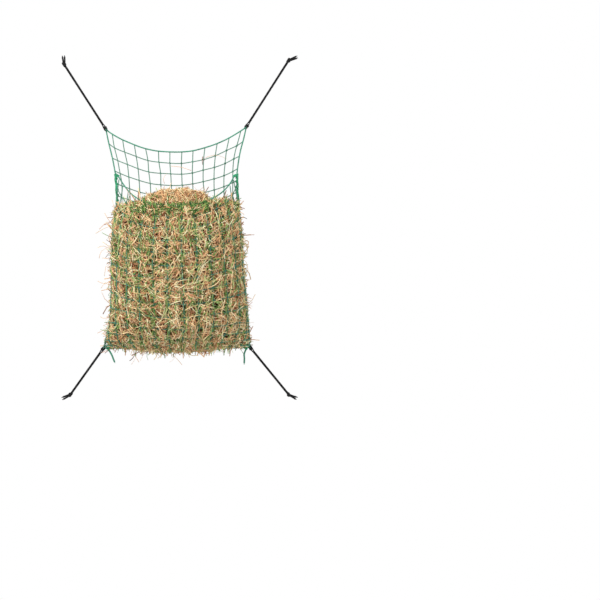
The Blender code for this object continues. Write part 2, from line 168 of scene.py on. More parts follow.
def evenly(path, step):
    """The same path with its points about one step apart."""
    run = run_of(path)
    stations = np.linspace(0, run[-1], max(2, round(run[-1] / step) + 1))
    return np.column_stack([np.interp(stations, run, path[:, axis]) for axis in range(3)])


def profile(pairs):
    """A function that reads the second value of smooth (first, second) pairs at any first value."""
    fine = fine_curve(pairs)
    fine = fine[np.argsort(fine[:, 0], kind="stable")]
    return lambda value: np.interp(value, fine[:, 0], fine[:, 1])


def at_depth(pairs, y):
    """(x, z) pairs as points at depth y."""
    pairs = np.atleast_2d(np.array(pairs, float))
    return np.column_stack([pairs[:, 0], np.full(len(pairs), y), pairs[:, 1]])


def frames_along(path):
    """Side and up directions along a path, turning no more than they must."""
    tangent = unit(np.gradient(path, axis=0))
    start = np.cross(tangent[0], (0.0, 1.0, 0.0))
    if np.linalg.norm(start) < 0.2:
        start = np.cross(tangent[0], (0.0, 0.0, 1.0))
    side = [unit(start)]
    for along in tangent[1:]:
        moved = side[-1] - along * np.dot(side[-1], along)
        side.append(moved / math.sqrt(np.dot(moved, moved)))
    side = np.array(side)
    return side, np.cross(tangent, side)


def frames_round(path):
    """The same for a closed path, eased so that its end meets its start."""
    count = len(path)
    side, up = frames_along(np.vstack([path[-1], path, path[:2]]))
    gap = math.atan2(np.dot(side[count + 1], up[1]), np.dot(side[count + 1], side[1]))
    turn = (-gap * np.arange(count) / count)[:, None]
    side, up = side[1:count + 1], up[1:count + 1]
    return np.cos(turn) * side + np.sin(turn) * up, np.cos(turn) * up - np.sin(turn) * side


# ==== Meshes ====
def mesh_object(name, points, loops, sizes, maps, material, attributes=None):
    """A smooth mesh object from arrays of points, face corners and face sizes."""
    mesh = bpy.data.meshes.new(name)
    mesh.vertices.add(len(points))
    mesh.vertices.foreach_set("co", np.asarray(points, np.float32).ravel())
    mesh.loops.add(len(loops))
    mesh.loops.foreach_set("vertex_index", np.asarray(loops, np.int32))
    mesh.polygons.add(len(sizes))
    starts = np.concatenate([[0], np.cumsum(sizes)[:-1]])
    mesh.polygons.foreach_set("loop_start", starts.astype(np.int32))
    for title, uvs in maps.items():
        layer = mesh.uv_layers.new(name=title)
        layer.data.foreach_set("uv", np.asarray(uvs, np.float32).ravel())
    for title, values in (attributes or {}).items():
        layer = mesh.attributes.new(title, "FLOAT", "POINT")
        layer.data.foreach_set("value", np.asarray(values, np.float32).ravel())
    mesh.update(calc_edges=True)
    mesh.shade_smooth()
    mesh.materials.append(material)
    piece = bpy.data.objects.new(name, mesh)
    bpy.context.scene.collection.objects.link(piece)
    return piece


def tube_faces(rings, sides, closed=False, capped=True):
    """The corners of a tube's faces, as ring and side numbers, and the faces' sizes."""
    ring, side = np.indices((rings if closed else rings - 1, sides))
    along = np.stack([ring, ring, ring + 1, ring + 1], axis=-1).ravel()
    around = np.stack([side, side + 1, side + 1, side], axis=-1).ravel()
    sizes = np.full(ring.size, 4)
    if capped and not closed:
        cap = np.arange(sides)
        along = np.concatenate([along, 0 * cap, 0 * cap + rings - 1])
        around = np.concatenate([around, cap[::-1], cap])
        sizes = np.concatenate([sizes, [sides, sides]])
    return along, around, sizes


STRIP_START, STRIP_LENGTH = 0.04, 0.92  # a cord's stretch of its cell on the colour map
STRIP_LOW, STRIP_WIDTH = 0.15, 0.70


def packed(cells, along, around, count):
    """Places on the colour map: each of count cords has a strip of its own."""
    columns = max(1, round(math.sqrt(count) / 4))
    rows = math.ceil(count / columns)
    across = (cells % columns + STRIP_START + STRIP_LENGTH * along) / columns
    down = (cells // columns + STRIP_LOW + STRIP_WIDTH * around) / rows
    return np.stack([across, down], axis=-1)


LAY_SHARE = {3: 0.56, 4: 0.52}  # a strand's radius as a share of the rope's


class Cords:
    """Collects tubes of cord and becomes one object."""

    def __init__(self):
        self.points, self.corners, self.sizes = [], [], []
        self.along, self.around, self.cells, self.lay = [], [], [], []
        self.count = 0
        self.number = 0

    def tube(self, path, radius, sides=6, closed=False):
        """A cord along the path."""
        path = np.asarray(path, float)
        side, up = frames_round(path) if closed else frames_along(path)
        turn = (np.arange(sides) * math.tau / sides)[None, :, None]
        ring = np.cos(turn) * side[:, None] + np.sin(turn) * up[:, None]
        self.points.append((path[:, None] + radius * ring).reshape(-1, 3))
        along, around, sizes = tube_faces(len(path), sides, closed)
        self.corners.append(self.count + along % len(path) * sides + around % sides)
        self.sizes.append(sizes)
        run = run_of(np.vstack([path, path[:1]]) if closed else path)
        self.along.append(run[along] / run[-1])
        self.around.append(around / sides)
        self.lay.append(np.column_stack([around / sides, run[along]]))
        self.cells.append(np.full(len(along), self.number))
        self.count += len(path) * sides
        self.number += 1

    def laid(self, path, radius, pitch, strands=3, per_turn=9, sides=6, heart=0.0):
        """A laid rope: strands wound round each other, and round a heart if one is given."""
        strand = radius * LAY_SHARE[strands]
        path = evenly(np.asarray(path, float), pitch / per_turn)
        side, up = frames_along(path)
        run = run_of(path)
        for index in range(strands):
            turn = math.tau * (run / pitch + index / strands)[:, None]
            self.tube(path + (radius - strand) * (np.cos(turn) * side + np.sin(turn) * up), strand, sides)
        if heart:
            self.tube(path[::3], heart * radius, sides)

    def wound(self, path, radius, cord, turns, per_turn=12, sides=6):
        """A cord wound round a path."""
        path = np.asarray(path, float)
        path = evenly(path, run_of(path)[-1] / max(2, round(turns * per_turn)))
        side, up = frames_along(path)
        turn = math.tau * turns * np.linspace(0, 1, len(path))[:, None]
        self.tube(path + radius * (np.cos(turn) * side + np.sin(turn) * up), cord, sides)

    def overhand(self, centre, half_sizes, along, cord, sides=7, tilt=0.0):
        """A drawn-up knot: a trefoil of cord fitted into the half sizes, the first along the cord."""
        axis = unit(along)
        side = unit(np.cross(axis, (0.0, 1.0, 0.03)))
        up = np.cross(axis, side)
        side, up = math.cos(tilt) * side + math.sin(tilt) * up, math.cos(tilt) * up - math.sin(tilt) * side
        turn = np.linspace(0, math.tau, 48, endpoint=False)[:, None]
        lengthways = (np.sin(turn) + 2 * np.sin(2 * turn)) / 2.7
        sideways = (np.cos(turn) - 2 * np.cos(2 * turn)) / 3.0
        length, width, deep = (half - cord for half in half_sizes)
        path = np.asarray(centre) + length * lengthways * axis + width * sideways * side
        self.tube(path - deep * np.sin(3 * turn) * up, cord, sides, closed=True)

    def finished(self, name, material, body, slot, *nodes):
        """One object that rides on a body, with its material, in place of the CAD nodes; the slot argument
        is not used.
        """
        points = np.vstack(self.points)
        cells, along, around = (np.concatenate(values) for values in (self.cells, self.along, self.around))
        maps = {"Lay": np.vstack(self.lay), "OFBake": packed(cells, along, around, self.number)}
        loops, sizes = np.concatenate(self.corners), np.concatenate(self.sizes)
        piece = mesh_object(name, points, loops, sizes, maps, material)
        if body:
            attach(piece, body)
        if nodes:
            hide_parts(*nodes)
        return piece


# ==== Materials ====
def new_material(name, roughness):
    """A material, its nodes, its links and its Principled shader."""
    material = bpy.data.materials.new(name)
    material.use_nodes = True
    tree = material.node_tree
    shader = tree.nodes["Principled BSDF"]
    shader.inputs["Roughness"].default_value = roughness
    return material, tree, shader


def add_node(tree, kind, inputs=None, **settings):
    """A node with its settings, and its inputs given as values or as other nodes' outputs."""
    node = tree.nodes.new(kind)
    for title, value in settings.items():
        setattr(node, title, value)
    for title, value in (inputs or {}).items():
        if isinstance(value, bpy.types.NodeSocket):
            tree.links.new(value, node.inputs[title])
        else:
            node.inputs[title].default_value = value
    return node


def ramp(tree, factor, stops):
    """A colour ramp through (place, linear colour) stops."""
    node = add_node(tree, "ShaderNodeValToRGB", {0: factor})
    while len(node.color_ramp.elements) < len(stops):
        node.color_ramp.elements.new(0.5)
    for element, (place, colour) in zip(node.color_ramp.elements, stops):
        element.position = place
        element.color = (*colour, 1.0)
    return node.outputs["Color"]


def math_node(tree, operation, *values):
    """The result of a sum on values or outputs."""
    return add_node(tree, "ShaderNodeMath", dict(enumerate(values)), operation=operation).outputs[0]


MIX_FACTOR, MIX_FIRST, MIX_SECOND, MIX_RESULT = 0, 6, 7, 2  # the colour sockets of a Mix node


def mixed(tree, colour, other, factor, way="MIX"):
    """A colour mixed with another, or multiplied by it, as far as a factor says."""
    inputs = {MIX_FACTOR: factor, MIX_FIRST: colour, MIX_SECOND: other}
    return add_node(tree, "ShaderNodeMix", inputs, data_type="RGBA", blend_type=way).outputs[MIX_RESULT]


def noise(tree, place, scale, detail, roughness=0.5):
    """A cloudy value between 0 and 1."""
    inputs = {"Vector": place, "Scale": scale, "Detail": detail, "Roughness": roughness}
    return add_node(tree, "ShaderNodeTexNoise", inputs).outputs["Fac"]


def add_relief(tree, shader, height, strength, distance):
    """Bumps on a shader's surface."""
    inputs = {"Height": height, "Strength": strength, "Distance": distance}
    tree.links.new(add_node(tree, "ShaderNodeBump", inputs).outputs["Normal"], shader.inputs["Normal"])


WHITE = (1.0, 1.0, 1.0)
BLACK = (0.0, 0.0, 0.0)
GROOVE_PAINTED_SHADE = 0.35  # how much a cord's lay shows in its colour, as painted shade in its grooves
RUBBED_SHARE = 0.35
RUBBED_FROM, RUBBED_FULL = 0.58, 0.78
GLOSS_SPREAD = 0.30
RIDGE_DEPTH = 0.0006
CLOUD_SCALE, GRIT_SCALE = 26.0, 900.0
GRIT_DEPTH = 0.4


def cord_material(name, dark, light, worn, roughness, lays_per_metre, bump, specular=0.5):
    """Twisted or braided cord: fibres along the lay with painted shade in their grooves, colour that varies,
    and rubbed paler spots.
    """
    material, tree, shader = new_material(name, roughness)
    shader.inputs["Specular IOR Level"].default_value = specular
    place = add_node(tree, "ShaderNodeTexCoord").outputs["Object"]
    lay = add_node(tree, "ShaderNodeUVMap", uv_map="Lay").outputs["UV"]
    split = add_node(tree, "ShaderNodeSeparateXYZ", {0: lay})
    along = math_node(tree, "MULTIPLY", split.outputs["Y"], lays_per_metre)
    slant = math_node(tree, "ADD", along, split.outputs["X"])
    wave = math_node(tree, "SINE", math_node(tree, "MULTIPLY", slant, math.tau))
    ridge = math_node(tree, "MULTIPLY_ADD", wave, 0.5, 0.5)
    cloud = noise(tree, place, CLOUD_SCALE, 4.0)
    grit = noise(tree, place, GRIT_SCALE, 2.0)
    # The lay is painted darker in its grooves and paler on its crests: painted shade that follows the bump
    tone = math_node(tree, "MULTIPLY_ADD", ridge, GROOVE_PAINTED_SHADE, cloud)
    colour = ramp(tree, tone, ((0.30, dark), (0.85, light)))
    rubbed = ramp(tree, grit, ((RUBBED_FROM, BLACK), (RUBBED_FULL, WHITE)))
    factor = math_node(tree, "MULTIPLY", rubbed, RUBBED_SHARE)
    tree.links.new(mixed(tree, colour, (*worn, 1.0), factor), shader.inputs["Base Color"])
    gloss = math_node(tree, "MULTIPLY_ADD", grit, GLOSS_SPREAD, roughness - 0.5 * GLOSS_SPREAD)
    tree.links.new(gloss, shader.inputs["Roughness"])
    add_relief(tree, shader, math_node(tree, "MULTIPLY_ADD", grit, GRIT_DEPTH, ridge), bump, RIDGE_DEPTH)
    return material


TONE_SHIFT = 0.55  # how far a stalk's tone drifts along it
STREAK_COLOUR = (0.55, 0.45, 0.36)
STREAK_SHARE = 0.7
STREAK_DEPTH = 0.0004
MOTTLE_SCALE, STREAK_SCALE = 70.0, 420.0
HAY_SPECULAR = 0.22


def hay_material(name, stops, roughness=0.70, sheen=0.04):
    """Dried stalks: each has its own tone, with darker joints and streaks."""
    material, tree, shader = new_material(name, roughness)
    shader.inputs["Sheen Weight"].default_value = sheen
    shader.inputs["Specular IOR Level"].default_value = HAY_SPECULAR
    place = add_node(tree, "ShaderNodeTexCoord").outputs["Object"]
    tone = add_node(tree, "ShaderNodeAttribute", attribute_name="tone", attribute_type="GEOMETRY")
    mottle = noise(tree, place, MOTTLE_SCALE, 5.0, 0.6)
    streak = noise(tree, place, STREAK_SCALE, 2.0)
    shift = math_node(tree, "MULTIPLY_ADD", mottle, TONE_SHIFT, -0.5 * TONE_SHIFT)
    colour = ramp(tree, math_node(tree, "ADD", tone.outputs["Fac"], shift), stops)
    spots = ramp(tree, streak, ((0.30, STREAK_COLOUR), (0.52, WHITE)))
    tree.links.new(mixed(tree, colour, spots, STREAK_SHARE, "MULTIPLY"), shader.inputs["Base Color"])
    add_relief(tree, shader, streak, 0.5, STREAK_DEPTH)
    return material


# Dark, light and rubbed colours, roughness, lays to the metre, strength of relief and of the shine
TWINE = cord_material(
    "net_twine", (0.028, 0.112, 0.070), (0.075, 0.232, 0.152), (0.16, 0.36, 0.28), 0.55, 420.0, 0.55)
# The rope's own green, set darker in part as painted shade for the mouth rope under the crown; the border
# ropes share it
ROPE = cord_material(
    "net_rope", (0.016, 0.135, 0.080), (0.045, 0.270, 0.165), (0.14, 0.44, 0.31), 0.50, 500.0, 0.45)
LACE = cord_material(
    "lacing_rope", (0.008, 0.180, 0.075), (0.030, 0.380, 0.180), (0.14, 0.52, 0.32), 0.45, 500.0, 0.45)
TIE = cord_material(
    "tie_cord", (0.0015, 0.0015, 0.002), (0.006, 0.006, 0.007), (0.022, 0.022, 0.025), 0.60, 600.0, 0.50,
    specular=0.22)
STRAW = hay_material("hay_straw", (
    (0.00, (0.34, 0.14, 0.050)), (0.35, (0.72, 0.385, 0.175)), (0.65, (0.90, 0.62, 0.32)),
    (0.85, (0.96, 0.80, 0.46)), (1.00, (0.98, 0.91, 0.60))))
RUSSET = hay_material("hay_russet", (
    (0.00, (0.090, 0.032, 0.012)), (0.40, (0.38, 0.138, 0.060)), (0.70, (0.68, 0.33, 0.170)),
    (1.00, (0.86, 0.58, 0.33))))
OLIVE = hay_material("hay_olive", (
    (0.00, (0.022, 0.080, 0.016)), (0.35, (0.100, 0.240, 0.050)), (0.70, (0.26, 0.45, 0.115)),
    (1.00, (0.64, 0.68, 0.30))))
# The core is painted far darker than the stalks, as the shade in the gaps between them
CORE = hay_material("hay_core", (
    (0.00, (0.035, 0.017, 0.008)), (0.50, (0.095, 0.050, 0.020)), (1.00, (0.20, 0.12, 0.052))), 0.9, 0.0)


# ==== Camera, light and floor ====
CAMERA_DISTANCE = 8.0
VIEW_WIDTH = 2.4
VIEW_CENTRE = (0.4956, -0.9492)
SENSOR = 36.0
FLOOR_Z = -2.3


def aim(piece, target):
    """Point a camera or a light at a place."""
    piece.rotation_euler = (Vector(target) - piece.location).to_track_quat("-Z", "Y").to_euler()


def add_camera():
    """A long lens straight in front."""
    data = bpy.data.cameras.new("camera")
    data.sensor_width = SENSOR
    data.lens = SENSOR * CAMERA_DISTANCE / VIEW_WIDTH
    camera = bpy.data.objects.new("camera", data)
    camera.location = (VIEW_CENTRE[0], -CAMERA_DISTANCE, VIEW_CENTRE[1])
    bpy.context.scene.collection.objects.link(camera)
    aim(camera, (VIEW_CENTRE[0], 0.0, VIEW_CENTRE[1]))
    bpy.context.scene.camera = camera


def add_light(name, place, target, size, power):
    """A soft square lamp."""
    data = bpy.data.lights.new(name, "AREA")
    data.size = size
    data.energy = power
    lamp = bpy.data.objects.new(name, data)
    lamp.location = place
    bpy.context.scene.collection.objects.link(lamp)
    aim(lamp, target)


def add_stage():
    """A glowing white floor that ends nowhere, a white room and soft lamps."""
    world = bpy.data.worlds.new("studio")
    world.use_nodes = True
    world.node_tree.nodes["Background"].inputs["Color"].default_value = (1.0, 1.0, 1.0, 1.0)
    world.node_tree.nodes["Background"].inputs["Strength"].default_value = 1.0
    bpy.context.scene.world = world
    bpy.context.scene.view_settings.view_transform = "Standard"
    middle = (0.0, -0.1, -0.75)
    add_light("key", (-1.9, -2.4, 1.7), middle, 1.2, 120.0)
    add_light("fill", (2.4, -2.4, -0.2), middle, 2.0, 10.0)
    bpy.ops.mesh.primitive_plane_add(size=24.0, location=(0.0, 0.0, FLOOR_Z))
    floor = bpy.context.object
    floor.name = "floor"
    material, _, shader = new_material("floor", 0.9)
    shader.inputs["Base Color"].default_value = (0.0, 0.0, 0.0, 1.0)
    shader.inputs["Specular IOR Level"].default_value = 0.0
    shader.inputs["Emission Color"].default_value = (1.0, 1.0, 1.0, 1.0)
    shader.inputs["Emission Strength"].default_value = 1.0
    floor.data.materials.append(material)


add_camera()
add_stage()


# ==== Places that the pieces share, as the CAD has them ====
def tie_direction(corner):
    """The unit direction from a tie's pivot to its far knot."""
    pivot, knot, _ = TIES[corner]
    return unit(at_depth(knot, TIE_Y)[0] - at_depth(pivot, TIE_Y)[0])


def net_corner(corner):
    """The (x, z) where the border ropes of a corner end, inside the eye."""
    end = at_depth(TIES[corner][0], 0.0)[0] - CORNER_TO_PIVOT * tie_direction(corner)
    return end[0], end[2]


def side_route(side):
    """A side rope's (x, z) points from its top corner to its bottom corner."""
    middle = LEFT_ROUTE if side == "left" else RIGHT_ROUTE
    return [net_corner(f"top_{side}"), *middle, net_corner(f"bottom_{side}")]


def level_route(level):
    """The top or the bottom rope's (x, z) points from its left corner to its right corner."""
    middle = TOP_ROUTE if level == "top" else BOTTOM_ROUTE
    return [net_corner(f"{level}_left"), *middle, net_corner(f"{level}_right")]


SIDE_X = {side: profile([(z, x) for x, z in side_route(side)]) for side in SIDES}
LEVEL_Z = {level: profile(level_route(level)) for level in ("top", "bottom")}
BULGE_AT = profile(BULGE)
SPREAD_AT = profile(SPREAD)


def mouth_knot_centre(side):
    """The middle of the knot that holds the mouth rope beside a side rope."""
    inward = -SIDES[side] * (ROPE_R + GAP + KNOT_R)
    return np.array((SIDE_X[side](MOUTH_Z) + inward, MOUTH_Y, MOUTH_Z))


def mouth_route():
    """The mouth rope's points, starting and ending just clear of its knots."""
    route = np.array(MOUTH_ROUTE)
    left, right = mouth_knot_centre("left"), mouth_knot_centre("right")
    start = left + (KNOT_R + GAP) * unit(route[0] - left)
    end = right + (KNOT_R + GAP) * unit(route[-1] - right)
    return fine_curve([start, *route, end])


def mouth_edge():
    """The front panel's top edge: the mouth rope's line moved to just below the rope."""
    route = mouth_route()
    along = route[2:] - route[:-2]
    below = unit(np.column_stack([along[:, 2], np.zeros(len(along)), -along[:, 0]]))
    return route[1:-1] + (ROPE_R + 0.5 * PANEL_THICK + 2 * GAP) * below


EDGE = mouth_edge()
EDGE_CORNER_Z = MOUTH_Z - KNOT_R - 0.5 * PANEL_THICK - 2 * GAP


def edge_at(x, values, beyond):
    """A value of the mouth edge at x, running to the given value at the side ropes."""
    ends = [SIDE_X["left"](MOUTH_Z), *EDGE[:, 0], SIDE_X["right"](MOUTH_Z)]
    return np.interp(x, ends, [beyond, *values, beyond])


def across(share, z):
    """The x at a share from -1 (left rope) to 1 (right rope) of the net's width at height z."""
    left, right = SIDE_X["left"](z), SIDE_X["right"](z)
    return 0.5 * (left + right) + 0.5 * (right - left) * share


def mouth_height(share):
    """The height of the front panel's top edge at a share of the width."""
    height = np.full(np.shape(share), MOUTH_Z)
    for _ in range(SETTLING_STEPS):
        sought = edge_at(across(share, height), EDGE[:, 2], EDGE_CORNER_Z)
        height = 0.5 * (height + np.minimum(sought, EDGE_CORNER_Z))
    return height


def rise(share):
    """How fully the front panel stands out at a share of the width: 0 at its edges, 1 in the middle."""
    return np.maximum(0.0, 1.0 - share**2) ** (0.5 * BULGE_POWER)


def rounding(height):
    """How fully the front panel stands out at a height over its bottom edge: a quarter circle."""
    short = 1.0 - np.clip(height / CLOSING_HEIGHT, 0.0, 1.0)
    return np.sqrt(1.0 - short**2)


def bottom_height(share):
    """The height of both panels' lower edge, just over the bottom rope."""
    x = across(share, LEVEL_Z["bottom"](0.0))
    return LEVEL_Z["bottom"](x) + ROPE_R + 0.5 * PANEL_THICK + GAP


def front_point(share, z):
    """Points of the filled front panel's middle surface."""
    fullness = rise(share) * rounding(z - bottom_height(share))
    top = mouth_height(share)
    at_mouth = EDGE_Y - BULGE_AT(top) * rise(share)
    rope_y = edge_at(across(share, top), EDGE[:, 1], EDGE_Y)
    depth = EDGE_Y - BULGE_AT(z) * fullness
    depth = depth + (rope_y - at_mouth) * np.exp(-np.maximum(0.0, top - z) / MOUTH_FADE)
    swell = np.copysign(SWELL_SHARE * SPREAD_AT(z) * fullness * np.abs(share) ** SPREAD_POWER, share)
    return np.stack([across(share, z) + swell, depth, z], axis=-1)


# ==== Surfaces that netting and hay follow ====
class Surface:
    """A grid of points over u and v from 0 to 1, read anywhere and a little past its edges."""

    def __init__(self, points):
        self.points = points
        rows, columns = points.shape[:2]
        self.down = np.gradient(points, axis=0) * (rows - 1)
        self.across = np.gradient(points, axis=1) * (columns - 1)
        self.normal = unit(np.cross(self.down, self.across))

    def read(self, grid, u, v):
        """A grid's value between its points."""
        rows, columns = grid.shape[:2]
        x, y = u * (columns - 1), v * (rows - 1)
        left, top = np.minimum(x.astype(int), columns - 2), np.minimum(y.astype(int), rows - 2)
        x, y = (x - left)[..., None], (y - top)[..., None]
        upper = (1 - x) * grid[top, left] + x * grid[top, left + 1]
        lower = (1 - x) * grid[top + 1, left] + x * grid[top + 1, left + 1]
        return (1 - y) * upper + y * lower

    def at(self, u, v):
        """Points and outward normals at u and v."""
        inside_u, inside_v = np.clip(u, 0, 1), np.clip(v, 0, 1)
        points = self.read(self.points, inside_u, inside_v)
        points = points + (u - inside_u)[..., None] * self.read(self.across, inside_u, inside_v)
        points = points + (v - inside_v)[..., None] * self.read(self.down, inside_u, inside_v)
        return points, unit(self.read(self.normal, inside_u, inside_v))

    def size(self):
        """The lengths of the middle row and of the middle column."""
        rows, columns = self.points.shape[:2]
        return run_of(self.points[rows // 2])[-1], run_of(self.points[:, columns // 2])[-1]


def resampled(grid, run, count):
    """A grid's first axis read at evenly spaced places along a run."""
    stations = np.linspace(0, run[-1], count)
    place = np.interp(stations, run, np.arange(len(run)))
    low = np.minimum(place.astype(int), len(run) - 2)
    share = (place - low)[:, None, None]
    return (1 - share) * grid[low] + share * grid[low + 1]


def waves(u, v, rng, count, fewest, most):
    """Soft random swells between 0 and 1."""
    total = np.zeros(np.shape(u))
    for _ in range(count):
        turn, phase = rng.uniform(0, math.tau, 2)
        pace = rng.uniform(fewest, most)
        total = total + np.sin(math.tau * pace * (u * math.cos(turn) + v * math.sin(turn)) + phase)
    return 0.5 + 0.5 * np.tanh(1.3 * total / math.sqrt(count))


FINE = 241  # places read each way before they are spaced evenly
FRONT_GRID = (121, 161)  # rows and columns
BACK_GRID = (161, 121)


def front_surface():
    """The filled front from mouth to bottom, evenly spaced along its curves."""
    share = -np.cos(np.linspace(0, math.pi, FINE))
    top, bottom = mouth_height(share), bottom_height(share)
    down = 0.5 + 0.5 * share[:, None]
    points = front_point(np.broadcast_to(share, (FINE, FINE)), (1 - down) * top + down * bottom)
    points = resampled(points, run_of(points[:, FINE // 2]), FRONT_GRID[0])
    rows = [resampled(row[:, None], run_of(row), FRONT_GRID[1])[:, 0] for row in points]
    return Surface(np.array(rows))


def back_surface():
    """The flat back from the top rope to the bottom rope."""
    share = np.linspace(-1, 1, BACK_GRID[1])[None]
    down = np.linspace(0, 1, BACK_GRID[0])[:, None]
    middle = across(share, np.full(share.shape, -0.6))
    z = LEVEL_Z["top"](middle) * (1 - down) + LEVEL_Z["bottom"](middle) * down
    for _ in range(SETTLING_STEPS):
        x = across(share, z)
        z = LEVEL_Z["top"](x) * (1 - down) + LEVEL_Z["bottom"](x) * down
    return Surface(np.stack([across(share, z), np.full(z.shape, BACK_NET_Y), z], axis=-1)[:, ::-1])


FRONT = front_surface()
BACK = back_surface()


# ==== Ties ====
def narrowing(distance):
    """A strand's distance from the tie's middle line, from the loop down to touching."""
    ease = 0.5 + 0.5 * np.cos(math.pi * np.minimum(1.0, distance / NARROWING_LENGTH))
    return STRAND_OFFSET + (TIE_LOOP_R - STRAND_OFFSET) * ease


FRAY = 0.006  # how far the fibres of a cut end reach
FRAY_LEAN, FRAY_CURL = 0.22, 0.25  # how far a fibre leans out and curls, as shares of its reach
TAIL_LOOK_R = 0.0038  # a tie's tail or a loose end as it looks, with its nap
TAILS_CLOSE = 0.35  # how far a tie's two tails are drawn together
TAIL_ROOTS, TAIL_HALVES = 0.0016, 0.0026  # half the gap between the tails at the knot and halfway
TIE_PITCH = 0.012
TIE_HEART = 0.8  # the heart of a braided cord, as a share of its radius
BRAID = {"strands": 4, "per_turn": 7, "sides": 5, "heart": TIE_HEART}
TIE_LEAN = 0.35  # how far the doubled cord turns about itself, in radians
NEAR_LOOP = (0.024, 0.032)  # where its closely set stations end and the wide ones start
HITCH_KNOT = (0.0090, 0.0082, 0.0078)
HITCH_TURNS = (-0.007, 0.006, 0.0050)  # from and to along the tie, and radius
FAR_TURNS = (-0.005, 0.005, 0.0042)
FAR_KNOT_CORD_R, FAR_TURNS_CORD_R = 0.0033, 0.0029
FAR_KNOT_GROWS = np.array((0.003, 0.003, 0.001))  # past the plain knot of the solids
DEPTH = np.array((0.0, 1.0, 0.0))


def frayed(cords, tip, along, radius, rng, count):
    """Loose fibres that stand out of a cut end."""
    for _ in range(count):
        lean = unit(unit(along) + FRAY_LEAN * rng.normal(size=3))
        curl = FRAY_CURL * FRAY * rng.normal(size=3)
        reach = FRAY * rng.uniform(0.5, 1.0)
        path = [tip, tip + 0.5 * reach * unit(along) + 0.3 * curl, tip + reach * lean]
        cords.tube(fine_curve(path, 3), radius, 3)


def tie_loop(corner, span):
    """The doubled cord, from its far knot through the eye and back."""
    pivot, outward = at_depth(TIES[corner][0], TIE_Y)[0], tie_direction(corner)
    sideways = np.cross(outward, DEPTH)
    stations = np.concatenate([np.linspace(0, NEAR_LOOP[0], 9), np.linspace(NEAR_LOOP[1], span, 40)])
    slow = (TIE_LEAN * np.sin(math.pi * stations / span))[:, None]
    apart = narrowing(stations)[:, None] * (np.cos(slow) * sideways + np.sin(slow) * DEPTH)
    middle = pivot + stations[:, None] * outward
    turn = np.linspace(0, math.pi, 9)[1:-1, None]
    bight = pivot + TIE_LOOP_R * (np.cos(turn) * sideways - np.sin(turn) * outward)
    return np.vstack([(middle + apart)[::-1], bight, middle - apart])


def tie_tails(corner, knot, rng):
    """The two cut ends past a tie's far knot."""
    tails = Cords()
    tips = at_depth(TIES[corner][2], TIE_Y)
    split = unit(tips[1] - tips[0])
    between = 0.5 * (tips[0] + tips[1])
    for tip, way in zip(tips, (-1, 1)):
        tip = tip + TAILS_CLOSE * (between - tip)
        root = knot + 0.4 * TIE_KNOT_HALF[0] * unit(tip - knot) + way * TAIL_ROOTS * split
        half = 0.5 * (knot + between) + way * TAIL_HALVES * split + 0.0005 * rng.normal(size=3)
        tails.laid(fine_curve([root, half, tip], 8), TAIL_LOOK_R, TIE_PITCH, **BRAID)
        frayed(tails, tip, tip - half, 0.0008, rng, 26)
    return tails


def turns_about(cords, centre, outward, turns, cord, count):
    """Turns of cord round a knot."""
    start, end, radius = turns
    path = [centre + start * outward, centre + end * outward]
    cords.wound(path, radius, cord, count, per_turn=14, sides=7)


def build_tie(corner, rng):
    """A doubled cord looped through the eye, with its hitch, far knot and two frayed tails."""
    pivot, knot = (at_depth(place, TIE_Y)[0] for place in TIES[corner][:2])
    outward = tie_direction(corner)
    span = np.linalg.norm(knot - pivot)
    body = f"tie_{corner}"

    loop = Cords()
    loop.laid(tie_loop(corner, span), TIE_LOOK_R, TIE_PITCH, **BRAID)
    cord = loop.finished(f"{body}_cord", TIE, body, "tie", f"tie_cord_{corner}")

    hitch = Cords()
    turns_about(hitch, pivot, outward, HITCH_TURNS, TIE_LOOK_R, 3.3)
    hitch.overhand(pivot, HITCH_KNOT, outward, TIE_LOOK_R, sides=8, tilt=0.5)
    hitch = hitch.finished(f"{body}_hitch", TIE, body, "tie", f"tie_hitch_{corner}")

    far = Cords()
    far.overhand(knot, TIE_KNOT_HALF + FAR_KNOT_GROWS, outward, FAR_KNOT_CORD_R, sides=8)
    turns_about(far, knot, outward, FAR_TURNS, FAR_TURNS_CORD_R, 1.8)
    far = far.finished(f"{body}_far_knot", TIE, body, "tie", f"tie_knot_{corner}")

    tails = tie_tails(corner, knot, rng)
    tails = tails.finished(f"{body}_tails", TIE, body, "tie", f"tie_tails_{corner}")


for number, corner_name in enumerate(TIES):
    build_tie(corner_name, np.random.default_rng(40 + number))


# ==== Ropes ====
ROPE_PITCH = 0.019
EYE_PITCH = 0.008
SEIZING_R, SEIZING_CORD_R, SEIZING_TURNS = 0.0048, 0.0012, 5
SEIZING_FROM, SEIZING_TO = 0.009, 0.005  # before and past the border ropes' end
MOUTH_HITCH = (0.0072, 0.0060, 0.0060)
HITCH_CORD_R = 0.0020
HITCH_ABOVE, LACING_BELOW = 0.007, 0.012  # where a mouth knot's turns start, and where the lacing does


def lay_rope(name, route, body, node):
    """A green rope along a route."""
    rope = Cords()
    rope.laid(route, ROPE_R, ROPE_PITCH)
    rope.finished(name, ROPE, body, "rope", node)


def build_borders():
    """The four border ropes and the eyes and seizings at their corners."""
    for level in ("top", "bottom"):
        lay_rope(f"border_{level}", fine_curve(at_depth(level_route(level), 0.0)), "net", f"{level}_rope")
    for side in SIDES:
        lay_rope(f"border_{side}", fine_curve(at_depth(side_route(side), 0.0)), "net", f"{side}_rope")
    for corner in TIES:
        build_eye(corner)


